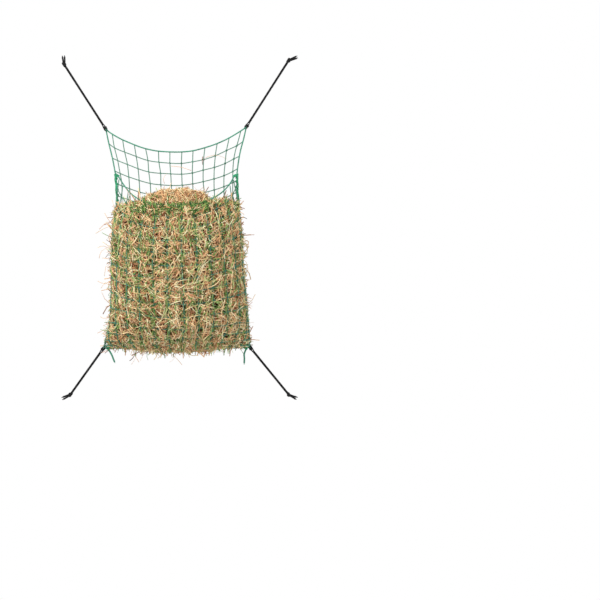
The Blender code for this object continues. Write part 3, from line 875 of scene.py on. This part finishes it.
def build_eye(corner):
    """A twisted rope eye, seized to the meeting border ropes."""
    pivot = at_depth(TIES[corner][0], TIE_Y)[0]
    outward = tie_direction(corner)
    turn = np.linspace(0, math.tau, 25)[:, None]
    ring = pivot - EYE_R * outward + EYE_R * (np.cos(turn) * outward + np.sin(turn) * DEPTH)
    eye = Cords()
    eye.laid(ring, EYE_CORD_R, EYE_PITCH, per_turn=8, sides=5)
    end = at_depth(net_corner(corner), 0.0)[0]
    seizing = [end - SEIZING_FROM * outward, end + SEIZING_TO * outward - 0.5 * TIE_TO_NET * DEPTH]
    eye.wound(seizing, SEIZING_R, SEIZING_CORD_R, SEIZING_TURNS)
    eye.finished(f"eye_{corner}", ROPE, "net", "rope", f"corner_eye_{corner}")


def build_mouth():
    """The mouth rope, knotted to a side rope at each end."""
    lay_rope("mouth_line", mouth_route(), "mouth", "mouth_rope")
    for side, sign in SIDES.items():
        knot = Cords()
        knot.overhand(mouth_knot_centre(side), MOUTH_HITCH, (1.0, 0.0, 0.6 * sign), HITCH_CORD_R, sides=8)
        z = np.array((MOUTH_Z + HITCH_ABOVE, MOUTH_Z - LACING_BELOW))
        turns = np.column_stack([SIDE_X[side](z), np.zeros(2), z])
        knot.wound(turns, ROPE_R + 0.9 * HITCH_CORD_R, HITCH_CORD_R, 4, sides=7)
        knot.finished(f"mouth_hitch_{side}", LACE, "net", "rope", f"mouth_knot_{side}")


BOWS = {
    "left": ((-0.2715, -0.0140, -1.142), (-0.281, -0.018, -1.131), (-0.284, -0.019, -1.116),
             (-0.277, -0.018, -1.107), (-0.271, -0.017, -1.118), (-0.2715, -0.0140, -1.140)),
    "right": ((0.2810, -0.0140, -1.1415), (0.291, -0.018, -1.133), (0.295, -0.019, -1.121),
              (0.289, -0.018, -1.112), (0.282, -0.017, -1.122), (0.2810, -0.0140, -1.139)),
}


LACE_LOOK_R = 0.0023
LACE_PITCH = 0.012
LACING_TURNS = 30
LACING_END_Z = -1.120
# The lacing's two laid runs beside the rope: how far out to the side, and their y
LACING_RUNS = ((0.0, -0.0078), (0.0045, -0.0040))
RUN_SWING, RUN_PITCH = 0.0012, 0.045
LACING_KNOT = (0.0085, 0.0072, 0.0072)
LACING_KNOT_CORD_R = 0.0022
BOW_PITCH = 0.010
END_HEART = 0.7


def lacing(side):
    """The cord wound round a side rope and laid beside it."""
    z = np.linspace(MOUTH_Z - LACING_BELOW, LACING_END_Z, 60)
    lace = Cords()
    route = np.column_stack([SIDE_X[side](z), np.zeros(60), z])
    lace.wound(route, ROPE_R + 0.8 * LACE_LOOK_R, LACE_LOOK_R, LACING_TURNS, per_turn=14)
    for number, (out, y) in enumerate(LACING_RUNS):
        swing = RUN_SWING * np.sin(z * math.tau / RUN_PITCH + 0.9 * number)
        run = [SIDE_X[side](z) + SIDES[side] * out + swing, y + 0 * z, z]
        lace.laid(np.column_stack(run), LACE_LOOK_R, LACE_PITCH, per_turn=7, sides=5)
    return lace


def build_lacing():
    """The cord that laces the front net to each side rope, with its bow and loose end."""
    for side in SIDES:
        lacing(side).finished(f"side_lacing_{side}", LACE, "net", "rope", f"lacing_{side}")
        centre = np.array(LACING_KNOTS[side])
        knot = Cords()
        knot.overhand(centre, LACING_KNOT, (1.0, 0.0, 0.4), LACING_KNOT_CORD_R, sides=8)
        knot.laid(fine_curve(BOWS[side], 8), LACE_LOOK_R, BOW_PITCH, per_turn=7, sides=5)
        knot = knot.finished(f"bow_{side}", LACE, "net", "rope", f"lacing_knot_{side}")

        route = fine_curve([0.5 * (centre + np.array(LACING_TAILS[side][0])), *LACING_TAILS[side]])
        tail = Cords()
        tail.laid(route, TAIL_LOOK_R, LACE_PITCH, per_turn=8, heart=END_HEART)
        tip = route[-1] + FRAY * unit(route[-1] - route[-4])
        frayed(tail, route[-1], tip - route[-1], 0.0006, np.random.default_rng(7), 20)
        tail = tail.finished(f"loose_end_{side}", ROPE, "net", "rope", f"lacing_tail_{side}")
        route = np.vstack([route, tip])


build_borders()
build_mouth()
build_lacing()


# ==== Netting ====
NET_WANDER = 0.0005  # how unevenly twine lies over what it holds
FRONT_STAND_OFF = 0.0017
TWINE_SIDES = 6
KNOT_RINGS = 14
KNOT_SIDES = 5
KNOT_SLANT = 0.8  # radians
KNOT_SIZE = (0.0034, 0.0019, 0.0021)  # along the knot, off the net and to the side
KNOT_TWINE_R = 0.00125
KNOT_STRAYS = 0.2  # how far its lie departs from the slant


def gathered(columns):
    """The u of each upright cord: the meshes narrow towards both sides."""
    middle = (np.arange(columns) + 0.5) / columns * 2 - 1
    widths = 1 - NARROWING * np.abs(middle) ** NARROWING_POWER
    return np.concatenate([[0.0], np.cumsum(widths)]) / widths.sum()


def netting(surface, columns, rows, stand_off, rng):
    """Knotted twine over a surface: its tubes, and where each ring of them lies in u and v."""
    cords = Cords()
    width, height = surface.size()
    shift_u = UNEVEN / width * rng.normal(size=(rows + 1, columns + 1))
    shift_v = UNEVEN / height * rng.normal(size=(rows + 1, columns + 1))
    grid_u = gathered(columns)[None] + shift_u
    grid_v = np.linspace(0, 1, rows + 1)[:, None] + shift_v
    grid_u[:, 0], grid_u[:, -1] = 0, 1
    grid_v[0], grid_v[-1] = 0, 1
    places = []

    def run(u, v):
        line = fine_curve(np.column_stack([u, v]), 4)
        points, normals = surface.at(line[:, 0], line[:, 1])
        wander = NET_WANDER * rng.normal(size=len(points))[:, None]
        cords.tube(points + (stand_off + wander) * normals, TWINE_R, TWINE_SIDES)
        places.append(np.repeat(line, TWINE_SIDES, axis=0))

    for column in range(1, columns):
        run(grid_u[:, column], grid_v[:, column])
    for row in range(1, rows):
        run(grid_u[row], grid_v[row])
    for row in range(1, rows):
        for column in range(1, columns):
            place = np.array([grid_u[row, column], grid_v[row, column]])
            centre, normal = surface.at(*place)
            tie_knot(cords, centre + stand_off * normal, normal, rng)
            places.append(np.tile(place, (KNOT_RINGS * KNOT_SIDES, 1)))
    return cords, np.vstack(places)


def tie_knot(cords, centre, normal, rng):
    """The sheet bend at a crossing, as one turn of twine laid aslant round it."""
    slant = (math.cos(KNOT_SLANT), 0.0, math.sin(KNOT_SLANT))
    along = unit(np.cross(normal, slant) + KNOT_STRAYS * rng.normal(size=3))
    side = unit(np.cross(along, normal))
    turn = np.linspace(0, math.tau, KNOT_RINGS, endpoint=False)[:, None]
    length, height, width = KNOT_SIZE
    path = centre + length * np.cos(turn) * along + height * np.sin(turn) * normal
    cords.tube(path + width * np.sin(2 * turn) * side, KNOT_TWINE_R, KNOT_SIDES, closed=True)


def build_netting():
    """The flat back net and the front net, whose top follows the mouth rope."""
    cords, _ = netting(BACK, BACK_COLUMNS, BACK_ROWS, 0.0, np.random.default_rng(3))
    cords.finished("netting_back", TWINE, "net", "netting", "back_panel")
    cords, places = netting(FRONT, FRONT_COLUMNS, FRONT_ROWS, FRONT_STAND_OFF, np.random.default_rng(4))
    front = cords.finished("netting_front", TWINE, None, "netting", "front_panel")
    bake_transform(front)


build_netting()


# ==== Hay ====
STALK_POINTS = 6
STALK_SIDES = 3
STALK_FLAT = 0.38  # a stalk's thickness as a share of its width
STALK_TAPER = 0.55
ROLL, TWIST = 0.7, 0.9  # how a stalk lies turned about itself, and turns further along it, in radians
TONE_DRIFT = 0.10
SHORTEST, LONGEST = 0.018, 0.17
LENGTH_SPREAD = 0.5
BEND, CURL = 9.0, 260.0  # how a stalk's heading drifts along it, to the metre and its square
UPRIGHT_LEAN = 0.4  # how far upright stalks lean, in radians
ARCH = 0.0022
QUILT_DEEP = -0.0085  # the hay's height over the net's surface, along the cords
QUILT_HIGH = 0.0090  # and in the middle of a mesh
HAY_FRONTMOST = -0.2135
HAY_BACKMOST = 0.012


class Stalks:
    """Collects curved, flattened stalks, many at a time, and becomes one object."""

    def __init__(self):
        self.points, self.tones = [], []
        self.count = 0

    def add(self, paths, normals, half_widths, tones, rng):
        """Stalks along paths (stalk, point, axis), flat side towards the normals but rolled a little."""
        number, length = paths.shape[:2]
        tangent = unit(np.gradient(paths, axis=1))
        side = unit(np.cross(tangent, normals))
        up = np.cross(side, tangent)
        share = np.linspace(0, 1, length)[None]
        roll, twist = rng.normal(0, ROLL, number), rng.normal(0, TWIST, number)
        roll = roll[:, None] + twist[:, None] * share
        cos, sin = np.cos(roll)[..., None], np.sin(roll)[..., None]
        side, up = cos * side + sin * up, cos * up - sin * side
        slim = 1 - STALK_TAPER * share**1.6 * rng.random(number)[:, None]
        wide = (half_widths[:, None] * slim)[..., None, None]
        turn = (np.arange(STALK_SIDES) * math.tau / STALK_SIDES)[:, None]
        ring = np.cos(turn) * side[:, :, None] + STALK_FLAT * np.sin(turn) * up[:, :, None]
        self.points.append((paths[:, :, None] + wide * ring).reshape(-1, 3))
        drift = tones[:, None] + TONE_DRIFT * rng.normal(size=number)[:, None] * (share - 0.5)
        self.tones.append(np.repeat(drift, STALK_SIDES, axis=1).ravel())
        self.count += number

    def finished(self, name, material, body):
        """One object of all the stalks, riding on a body."""
        along, around, sizes = tube_faces(STALK_POINTS, STALK_SIDES)
        corners = along * STALK_SIDES + around % STALK_SIDES
        first = np.arange(self.count)[:, None] * STALK_POINTS * STALK_SIDES
        cells = np.repeat(np.arange(self.count), len(corners))
        along = np.tile(along / (STALK_POINTS - 1), self.count)
        around = np.tile(around / STALK_SIDES, self.count)
        maps = {"OFBake": packed(cells, along, around, self.count)}
        tones = {"tone": np.concatenate(self.tones)}
        piece = mesh_object(name, np.vstack(self.points), (first + corners).ravel(),
                            np.tile(sizes, self.count), maps, material, tones)
        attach(piece, body)


def curved(count, lengths, rng, upright):
    """Flat curves about their own middles, as two coordinates in metres for each point."""
    steps = np.linspace(-0.5, 0.5, STALK_POINTS)[None] * lengths[:, None]
    heading = rng.uniform(0, math.tau, count)[:, None]
    steep = rng.choice((-0.5, 0.5), (count, 1)) * math.pi + rng.normal(0, UPRIGHT_LEAN, (count, 1))
    heading = np.where(rng.random((count, 1)) < upright, steep, heading)
    drift, curl = rng.normal(0, BEND, count)[:, None], rng.normal(0, CURL, count)[:, None]
    angle = heading + drift * steps + curl * steps**2
    pace = (lengths / (STALK_POINTS - 1))[:, None]
    x, y = (np.cumsum(part * pace, axis=1) for part in (np.cos(angle), np.sin(angle)))
    return x - x.mean(axis=1, keepdims=True), y - y.mean(axis=1, keepdims=True)


ROW_SHOWS = 0.15  # how much of the quilting is left along the rows
NEAR_UPRIGHT, NEAR_LEVEL = 0.9, 0.75
UPRIGHT_REACH, LEVEL_REACH, NEAR_FADE = 0.28, 0.18, 0.30  # as sines across a mesh
LOW_FROM_Z, LOW_REACH = -0.85, 0.15
HELD_SIDEWAYS, HELD_DOWNWARD, HELD_DEPTH = 0.45, 0.3, 0.004
CORNERS_EMPTY = {"left": 0.024, "right": 0.010}  # how far the hay stays out of each bottom corner
CORNER_TOP_Z, CORNER_HIGH = -1.070, 0.080
CORNER_X, CORNER_WIDE = 0.12, 0.15
CORNER_LIFT = 0.008
PAST_ROPES = (-0.006, 0.003)  # over this distance past a side rope the hay comes forward
TIES_FRONT_Y = -0.019


def mesh_place(u, columns):
    """How many upright cords lie before u, as a number whose whole values are the cords."""
    return np.interp(u, gathered(columns), np.arange(columns + 1.0))


def quilt(u, v, columns, rows):
    """How high the hay pushes through the meshes: 0 along the cords, 1 in the middle of each."""
    level = ROW_SHOWS + (1 - ROW_SHOWS) * np.abs(np.sin(math.pi * rows * v))
    return np.sqrt(np.abs(np.sin(math.pi * mesh_place(u, columns))) * level)


def near_cords(u, v, columns, rows):
    """How near a place lies to the net's cords, from 0 to 1; the uprights show more than the rows."""
    upright = np.abs(np.sin(math.pi * mesh_place(u, columns))) - UPRIGHT_REACH
    level = np.abs(np.sin(math.pi * rows * v)) - LEVEL_REACH
    upright, level = (1 - np.clip(past / NEAR_FADE, 0, 1) for past in (upright, level))
    return np.maximum(NEAR_UPRIGHT * upright, NEAR_LEVEL * level)


def held_in(high, points, normals):
    """Heights over the filled front, less where it turns away to the ropes that hold it."""
    sideways, downward = normals[..., 0] ** 2, normals[..., 2] ** 2
    low = np.clip((LOW_FROM_Z - points[..., 2]) / LOW_REACH, 0, 1)
    held = 1 - HELD_SIDEWAYS * sideways - HELD_DOWNWARD * downward
    return high * held - HELD_DEPTH * (1 + low) * sideways


def out_of_corners(points):
    """Points of hay drawn in and up from the bottom corners, where only ropes and twine meet."""
    low = np.clip((CORNER_TOP_Z - points[..., 2]) / CORNER_HIGH, 0, 1) ** 2
    outer = np.clip((np.abs(points[..., 0]) - CORNER_X) / CORNER_WIDE, 0, 1)
    inward = np.where(points[..., 0] < 0, CORNERS_EMPTY["left"], -CORNERS_EMPTY["right"])
    drawn = points.copy()
    drawn[..., 0] += inward * low * outer
    drawn[..., 2] += CORNER_LIFT * low * outer
    return drawn


def clear_of_ties(points):
    """Points of hay that, past the side ropes, come forward of the plane in which the ties swing."""
    x, z = points[..., 0], points[..., 2]
    past = np.maximum(SIDE_X["left"](z) - x, x - SIDE_X["right"](z))
    furthest_back = np.interp(past, PAST_ROPES, (HAY_BACKMOST, TIES_FRONT_Y))
    moved = points.copy()
    moved[..., 1] = np.minimum(points[..., 1], furthest_back)
    return moved


def strewn(area, number, rng, lift, long=0.048, upright=0.0):
    """Paths and normals of stalks that lie over an area and bulge through its meshes."""
    width, height = area.surface.size()
    meshes = area.meshes
    lengths = np.clip(rng.lognormal(math.log(long), LENGTH_SPREAD, number), SHORTEST, LONGEST)
    u = rng.uniform(area.span[0] - area.margin, area.span[1] + area.margin, number)[:, None]
    v = area.v_of(u, rng.uniform(-area.margin, 1 + area.margin, number)[:, None])
    x, y = curved(number, lengths, rng, upright)
    u_all, v_all = u + x / width, v + y / height
    points, normals = area.surface.at(u_all, v_all)
    share = np.linspace(-1, 1, STALK_POINTS)[None]
    flare = rng.exponential(area.flare, number)[:, None]
    ends = flare * np.maximum(0, share * rng.choice((-1, 1), (number, 1))) ** 3
    arch = rng.normal(0, ARCH, number)[:, None] * (1 - share**2)
    deep, top = area.quilting
    tall = deep + (top - deep) * quilt(u_all, v_all, *meshes)
    tall = tall + rng.uniform(*lift, number)[:, None] + ends + arch
    tall = held_in(tall, points, normals) if area.held else tall
    paths = clear_of_ties(out_of_corners(points + tall[..., None] * normals))
    paths[..., 1] = np.clip(paths[..., 1], HAY_FRONTMOST, HAY_BACKMOST)
    return paths, normals, quilt(u, v, *meshes)[:, 0], near_cords(u, v, *meshes)[:, 0]


def line_places(surface, height):
    """For each column of a surface, the v at which it reaches a height."""
    v = np.linspace(0, 1, surface.points.shape[0])
    found = [np.interp(-level, -column, v) for level, column in zip(height, surface.points[..., 2].T)]
    return np.array(found)


class Area:
    """Where hay is strewn: a surface, or the stretch of it below a line, and how the hay lies there."""

    def __init__(self, surface, meshes, height_at=None, reach=None, flare=0.008, margin=0.0,
                 span=(0.0, 1.0), quilting=(QUILT_DEEP, QUILT_HIGH), held=False):
        self.surface, self.meshes = surface, meshes
        self.flare, self.margin, self.span, self.quilting, self.held = flare, margin, span, quilting, held
        self.starts = line_places(surface, height_at(surface.points[0, :, 0])) if height_at else None
        self.reach = reach

    def v_of(self, u, v):
        """The surface's v at the area's own v, which runs from 0 to 1."""
        if self.starts is None:
            return v
        start = np.interp(u, np.linspace(0, 1, len(self.starts)), self.starts)
        return start + (self.reach or 1 - start) * v


HAY_LINE = profile(((-0.30, -0.604), (-0.24, -0.598), (-0.19, -0.582), (-0.14, -0.568), (-0.05, -0.583),
                    (0.06, -0.583), (0.14, -0.564), (0.19, -0.564), (0.24, -0.574), (0.30, -0.584)))
BACK_HAY_Y = -0.0030
TOP_SWELL = 0.008

FRONT_HAY = Area(FRONT, (FRONT_COLUMNS, FRONT_ROWS), HAY_LINE, margin=0.01, held=True)
MOUTH_HAY = Area(FRONT, (FRONT_COLUMNS, FRONT_ROWS), lambda x: HAY_LINE(x) + 0.004, 0.060,
                 flare=0.003, span=(0.26, 0.72), quilting=(0.002, 0.005))
BACK_HAY = Area(BACK, (BACK_COLUMNS, BACK_ROWS), HAY_LINE, flare=0.0, quilting=(-0.004, 0.0))


def top_surface():
    """The hay's upper face, from the back net forward to the front net."""
    u = np.linspace(0, 1, 81)
    front, _ = FRONT.at(u, FRONT_HAY.v_of(u, 0 * u))
    back, _ = BACK.at(1 - u, BACK_HAY.v_of(1 - u, 0 * u))
    back[:, 1] = BACK_HAY_Y
    share = np.linspace(0, 1, 31)[:, None, None]
    points = (1 - share) * back + share * front
    points[..., 2] += TOP_SWELL * np.sin(math.pi * share[..., 0])
    return Surface(points)


CROWN_OUTLINE = profile(((-0.150, 0.0), (-0.1415, 0.012), (-0.122, 0.030), (-0.095, 0.050), (-0.045, 0.066),
                         (0.005, 0.072), (0.055, 0.070), (0.098, 0.058), (0.124, 0.042), (0.140, 0.0)))


CROWN_INSET = (0.004, 0.002)  # in x and y, from the solid
CROWN_LIFT = 0.002
CROWN_UNDER = 0.018  # how deep the crown sits in the hay below it
CROWN_ROUND = 2.6
CROWN_ROWS = 61
ARCH_TURNS = (-0.35, math.pi + 0.35)


def crown_surface(turns):
    """The mound of hay over the mouth, as an arch swept along x."""
    a = -np.cos(np.linspace(0, math.pi, 81))[None]
    turn = np.linspace(*turns, CROWN_ROWS)[:, None]
    thick = np.sqrt(1 - np.abs(a) ** CROWN_ROUND)
    x = CROWN_CENTRE[0] + (CROWN_HALF[0] - CROWN_INSET[0]) * a + 0 * turn
    y = CROWN_CENTRE[1] + (CROWN_HALF[1] - CROWN_INSET[1]) * thick * np.cos(turn)
    high = np.where(np.sin(turn) > 0, CROWN_OUTLINE(x), CROWN_UNDER * thick)
    return Surface(np.stack([x, y, HAY_TOP_Z + CROWN_LIFT + high * np.sin(turn)], axis=-1))


TOP = top_surface()
TOP_HAY = Area(TOP, (8, 2), flare=0.005)
CROWN_HAY = Area(crown_surface(ARCH_TURNS), (6, 4), flare=0.006)


OTHER_WAY_ROUND = (0, 3, 2, 1)  # the corners of a face that looks outward here


def loft(name, rings, material, tones, body, node):
    """A form of hay through closed rings, whose end rings are drawn in to nothing, in place of a node."""
    rings = np.asarray(rings)
    number, count = rings.shape[:2]
    along, around, sizes = tube_faces(number, count, capped=False)
    along, around = (corners.reshape(-1, 4)[:, OTHER_WAY_ROUND].ravel() for corners in (along, around))
    maps = {"OFBake": np.column_stack([along / (number - 1), around / count])}
    piece = mesh_object(name, rings.reshape(-1, 3), along * count + around % count, sizes, maps, material,
                        {"tone": tones(rings).ravel()})
    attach(piece, body)
    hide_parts(node)


CORE_INSET = 0.020  # how far the core's back stays from the side ropes, as a share of the width
CORE_QUILT = 0.010
CORE_DEEP = 0.0035  # how far the core lies under the lowest stalks
CORE_SWELL = 0.005
CORE_SUNK, CORE_SIDES_SUNK = 0.002, 0.006
CORE_TOP_DEEP = 0.006
CORE_BACK_Y = BACK_HAY_Y - 0.004
CORE_BACKMOST = BACK_HAY_Y - 0.002
CROWN_SWELL = 0.004


def hay_core(rng):
    """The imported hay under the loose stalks, as closed rings from the right side to the left."""
    u = np.linspace(0, 1, 151)[:, None]
    down = np.linspace(0, 1, 121)[None]
    v = FRONT_HAY.v_of(u, down)
    points, normals = FRONT.at(u + 0 * down, v)
    high = QUILT_DEEP - CORE_DEEP + CORE_QUILT * quilt(u, v, FRONT_COLUMNS, FRONT_ROWS)
    high = high + CORE_SWELL * (waves(4 * u + 0 * v, 4 * v, rng, 9, 4, 9) - 0.6)
    high = held_in(high, points, normals) - CORE_SUNK - CORE_SIDES_SUNK * normals[..., 0] ** 2
    front = (points + high[..., None] * normals)[:, ::-1]
    top, up = TOP.at(u + 0 * down[:, :17], 1 - down[:, :17] / down[0, 16])
    top = top - CORE_TOP_DEEP * up
    within = CORE_INSET + (1 - 2 * CORE_INSET) * (1 - u)
    back, _ = BACK.at(within + 0 * down[:, ::2], BACK_HAY.v_of(within, down[:, ::2]))
    back[..., 1] = CORE_BACK_Y
    rings = np.concatenate([front, top[:, 1:-1], back], axis=1)
    rings[..., 1] = np.minimum(rings[..., 1], CORE_BACKMOST)
    for end in (0, -1):
        edge = back[end]
        rings[end, :front.shape[1]] = resampled(edge[:, None], np.arange(len(edge)), front.shape[1])[::-1, 0]
        rings[end, front.shape[1]:-len(edge)] = edge[0]
    return out_of_corners(rings)


def crown_core(rng):
    """The same under the crown's stalks, from end to end."""
    closed = crown_surface((0, math.tau * (1 - 1 / CROWN_ROWS)))
    rings = closed.points.transpose(1, 0, 2)[1:-1, ::-1]
    swell = waves(25 * rings[..., 0], 25 * rings[..., 2] + 15 * rings[..., 1], rng, 9, 0.5, 2.0) - 1.4
    middle = rings.mean(axis=1, keepdims=True)
    rings = rings + CROWN_SWELL * swell[..., None] * unit(rings - middle)
    return np.concatenate([rings[:1] * 0 + middle[:1], rings, rings[-1:] * 0 + middle[-1:]])


def build_cores(rng):
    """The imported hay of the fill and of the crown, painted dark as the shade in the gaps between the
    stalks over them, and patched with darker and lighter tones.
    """
    def patches(form):
        return waves(30 * form[..., 0], 30 * form[..., 2] + 20 * form[..., 1], rng, 12, 0.5, 2.4)

    loft("hay_core", hay_core(rng), CORE, patches, "net", "hay_fill")
    # The crown's core takes only the dark end of the russet tones, as painted shade between the crown's
    # stalks
    def darker(form):
        return 0.1 + 0.4 * patches(form)

    loft("crown_core", crown_core(rng), RUSSET, darker, "hay_crown", "hay_top")


# A family of stalks: its material, its portion of all, half a stalk's width, how much higher it lies, its
# length as a share of the usual one, how many stand upright, and how likely a stalk is kept away from the
# net's cords and beside them, with the power by which the one passes into the other
Family = namedtuple("Family", "material portion half_width lifted length upright away beside power")
FAMILIES = {
    "straw": Family(STRAW, 0.52, 0.0022, 0.0, 1.0, 0.0, away=1.0, beside=0.20, power=1.0),
    "russet": Family(RUSSET, 0.34, 0.0019, -0.001, 1.0, 0.0, away=1.0, beside=0.35, power=1.0),
    "olive": Family(OLIVE, 0.85, 0.0020, 0.0032, 0.60, 0.65, away=0.07, beside=1.0, power=1.4),
}
TONE_MIDDLE, TONE_SPREAD = 0.54, 0.25
QUILT_PAINTED_SHADE = 0.16  # painted light and shade: how much paler stalks are in the middle of a mesh, and darker in the valleys along the cords


def scatter(name, body, area, count, seed, layers, mix=(1, 1, 1), long=0.048, slim=1.0):
    """Hay strewn over an area in layers, one object for each family of stalks."""
    rng = np.random.default_rng(seed)
    for (title, family), amount in zip(FAMILIES.items(), mix):
        stalks = Stalks()
        for (low, high), weight, shade in layers:
            number = round(count * amount * family.portion * weight)
            lift = (low + family.lifted, high + family.lifted)
            length = long * family.length
            paths, normals, bulge, near = strewn(area, number, rng, lift, length, family.upright)
            kept = rng.random(number) < family.away + (family.beside - family.away) * near**family.power
            wide = slim * family.half_width * rng.uniform(0.6, 1.25, number)
            tones = np.clip(rng.normal(TONE_MIDDLE, TONE_SPREAD, number), 0.04, 0.98)
            # Painted light and shade: the deeper layers and the valleys along the cords are darker, the
            # upper layers and the middles of meshes paler
            tones = tones + shade + QUILT_PAINTED_SHADE * (bulge - 0.5)
            stalks.add(paths[kept], normals[kept], wide[kept], tones[kept], rng)
        stalks.finished(f"{name}_{title}", family.material, body)


# Loose stalks, as (x, y, z): over the back net, past both sides and under the bottom
STRAYS = (
    ((-0.046, -0.010, -0.484), (-0.050, -0.011, -0.464), (-0.036, -0.010, -0.442)),
    ((-0.020, -0.009, -0.414), (0.018, -0.012, -0.418), (0.062, -0.010, -0.432)),
    ((0.118, -0.010, -0.380), (0.160, -0.012, -0.370), (0.205, -0.009, -0.386)),
    ((-0.316, -0.060, -0.685), (-0.282, -0.062, -0.665), (-0.246, -0.055, -0.651)),
    ((-0.303, -0.050, -0.668), (-0.274, -0.055, -0.642), (-0.240, -0.050, -0.636)),
    ((-0.280, -0.060, -0.604), (-0.266, -0.060, -0.628), (-0.244, -0.055, -0.655)),
    ((-0.306, -0.080, -0.742), (-0.282, -0.085, -0.735), (-0.246, -0.075, -0.752)),
    ((-0.300, -0.080, -0.784), (-0.290, -0.085, -0.756), (-0.252, -0.080, -0.733)),
    ((-0.305, -0.085, -0.874), (-0.280, -0.090, -0.884), (-0.246, -0.080, -0.871)),
    ((-0.293, -0.075, -0.902), (-0.276, -0.080, -0.884), (-0.246, -0.075, -0.894)),
    ((-0.296, -0.070, -1.015), (-0.280, -0.075, -1.022), (-0.252, -0.070, -1.012)),
    ((0.274, -0.065, -0.612), (0.262, -0.070, -0.602), (0.240, -0.060, -0.607)),
    ((0.283, -0.080, -0.740), (0.272, -0.085, -0.712), (0.250, -0.075, -0.702)),
    ((0.290, -0.080, -0.842), (0.284, -0.085, -0.802), (0.262, -0.080, -0.782)),
    ((0.302, -0.070, -0.985), (0.288, -0.075, -0.968), (0.266, -0.070, -0.975)),
    ((-0.173, -0.070, -1.205), (-0.160, -0.075, -1.186), (-0.150, -0.070, -1.160)),
    ((-0.142, -0.080, -1.196), (-0.152, -0.080, -1.180), (-0.166, -0.075, -1.158)),
    ((0.028, -0.080, -1.206), (0.012, -0.085, -1.186), (-0.012, -0.080, -1.164)),
    ((-0.020, -0.085, -1.196), (-0.004, -0.085, -1.182), (0.006, -0.080, -1.160)),
)
DARK_STRAYS = (
    ((0.1075, -0.010, -0.376), (0.1055, -0.012, -0.392), (0.1075, -0.010, -0.409)),
    ((0.1120, -0.011, -0.380), (0.1125, -0.012, -0.388), (0.1100, -0.010, -0.398)),
    ((-0.180, -0.075, -1.190), (-0.166, -0.080, -1.178), (-0.156, -0.075, -1.158)),
    ((0.285, -0.075, -0.628), (0.268, -0.080, -0.620), (0.248, -0.070, -0.634)),
)


def build_strays(name, lines, material, half_width, tone, rng):
    """Single stalks that have come loose from the rest."""
    stalks = Stalks()
    for line in lines:
        path = fine_curve(line)
        path = evenly(path, run_of(path)[-1] / (STALK_POINTS - 1))[None]
        normals = np.broadcast_to((0.0, -1.0, 0.0), path.shape)
        stalks.add(path, normals, np.array([half_width]), np.array([tone + 0.1 * rng.normal()]), rng)
    stalks.finished(name, material, "net")


# Layers of hay: the lowest and highest lift, the share of the stalks, and how much paler they are, as
# painted light and shade: the deeper layers are painted darker and the upper ones paler
FRONT_LAYERS = (
    ((-0.006, -0.001), 0.38, -0.28), ((-0.002, 0.003), 0.35, 0.05), ((0.001, 0.006), 0.27, 0.24))
BACK_LAYERS = (((-0.010, -0.005), 0.5, -0.15), ((-0.006, 0.0), 0.5, 0.0))
TOP_LAYERS = (((-0.008, 0.000), 0.4, -0.10), ((-0.003, 0.003), 0.6, 0.12))
# The hay just under the crown is painted darker in both layers, as the crown's shade
MOUTH_LAYERS = (((0.000, 0.004), 0.5, -0.30), ((0.003, 0.006), 0.5, -0.10))
CROWN_LAYERS = (((-0.008, 0.000), 0.4, -0.10), ((-0.003, 0.004), 0.6, 0.16))

build_cores(np.random.default_rng(11))
scatter("hay_front", "net", FRONT_HAY, 12000, 12, FRONT_LAYERS)
scatter("hay_back", "net", BACK_HAY, 7500, 13, BACK_LAYERS)
scatter("hay_topping", "net", TOP_HAY, 1500, 14, TOP_LAYERS, long=0.042)
scatter("crown", "hay_crown", CROWN_HAY, 2600, 15, CROWN_LAYERS, mix=(1.4, 1.1, 0.10), long=0.070, slim=0.85)
scatter("hay_mouth", "net", MOUTH_HAY, 420, 18, MOUTH_LAYERS, mix=(0.5, 0.9, 2.6), long=0.040)
build_strays("strays", STRAYS, STRAW, 0.0012, 0.45, np.random.default_rng(16))
build_strays("strays_dark", DARK_STRAYS, RUSSET, 0.0019, 0.05, np.random.default_rng(17))
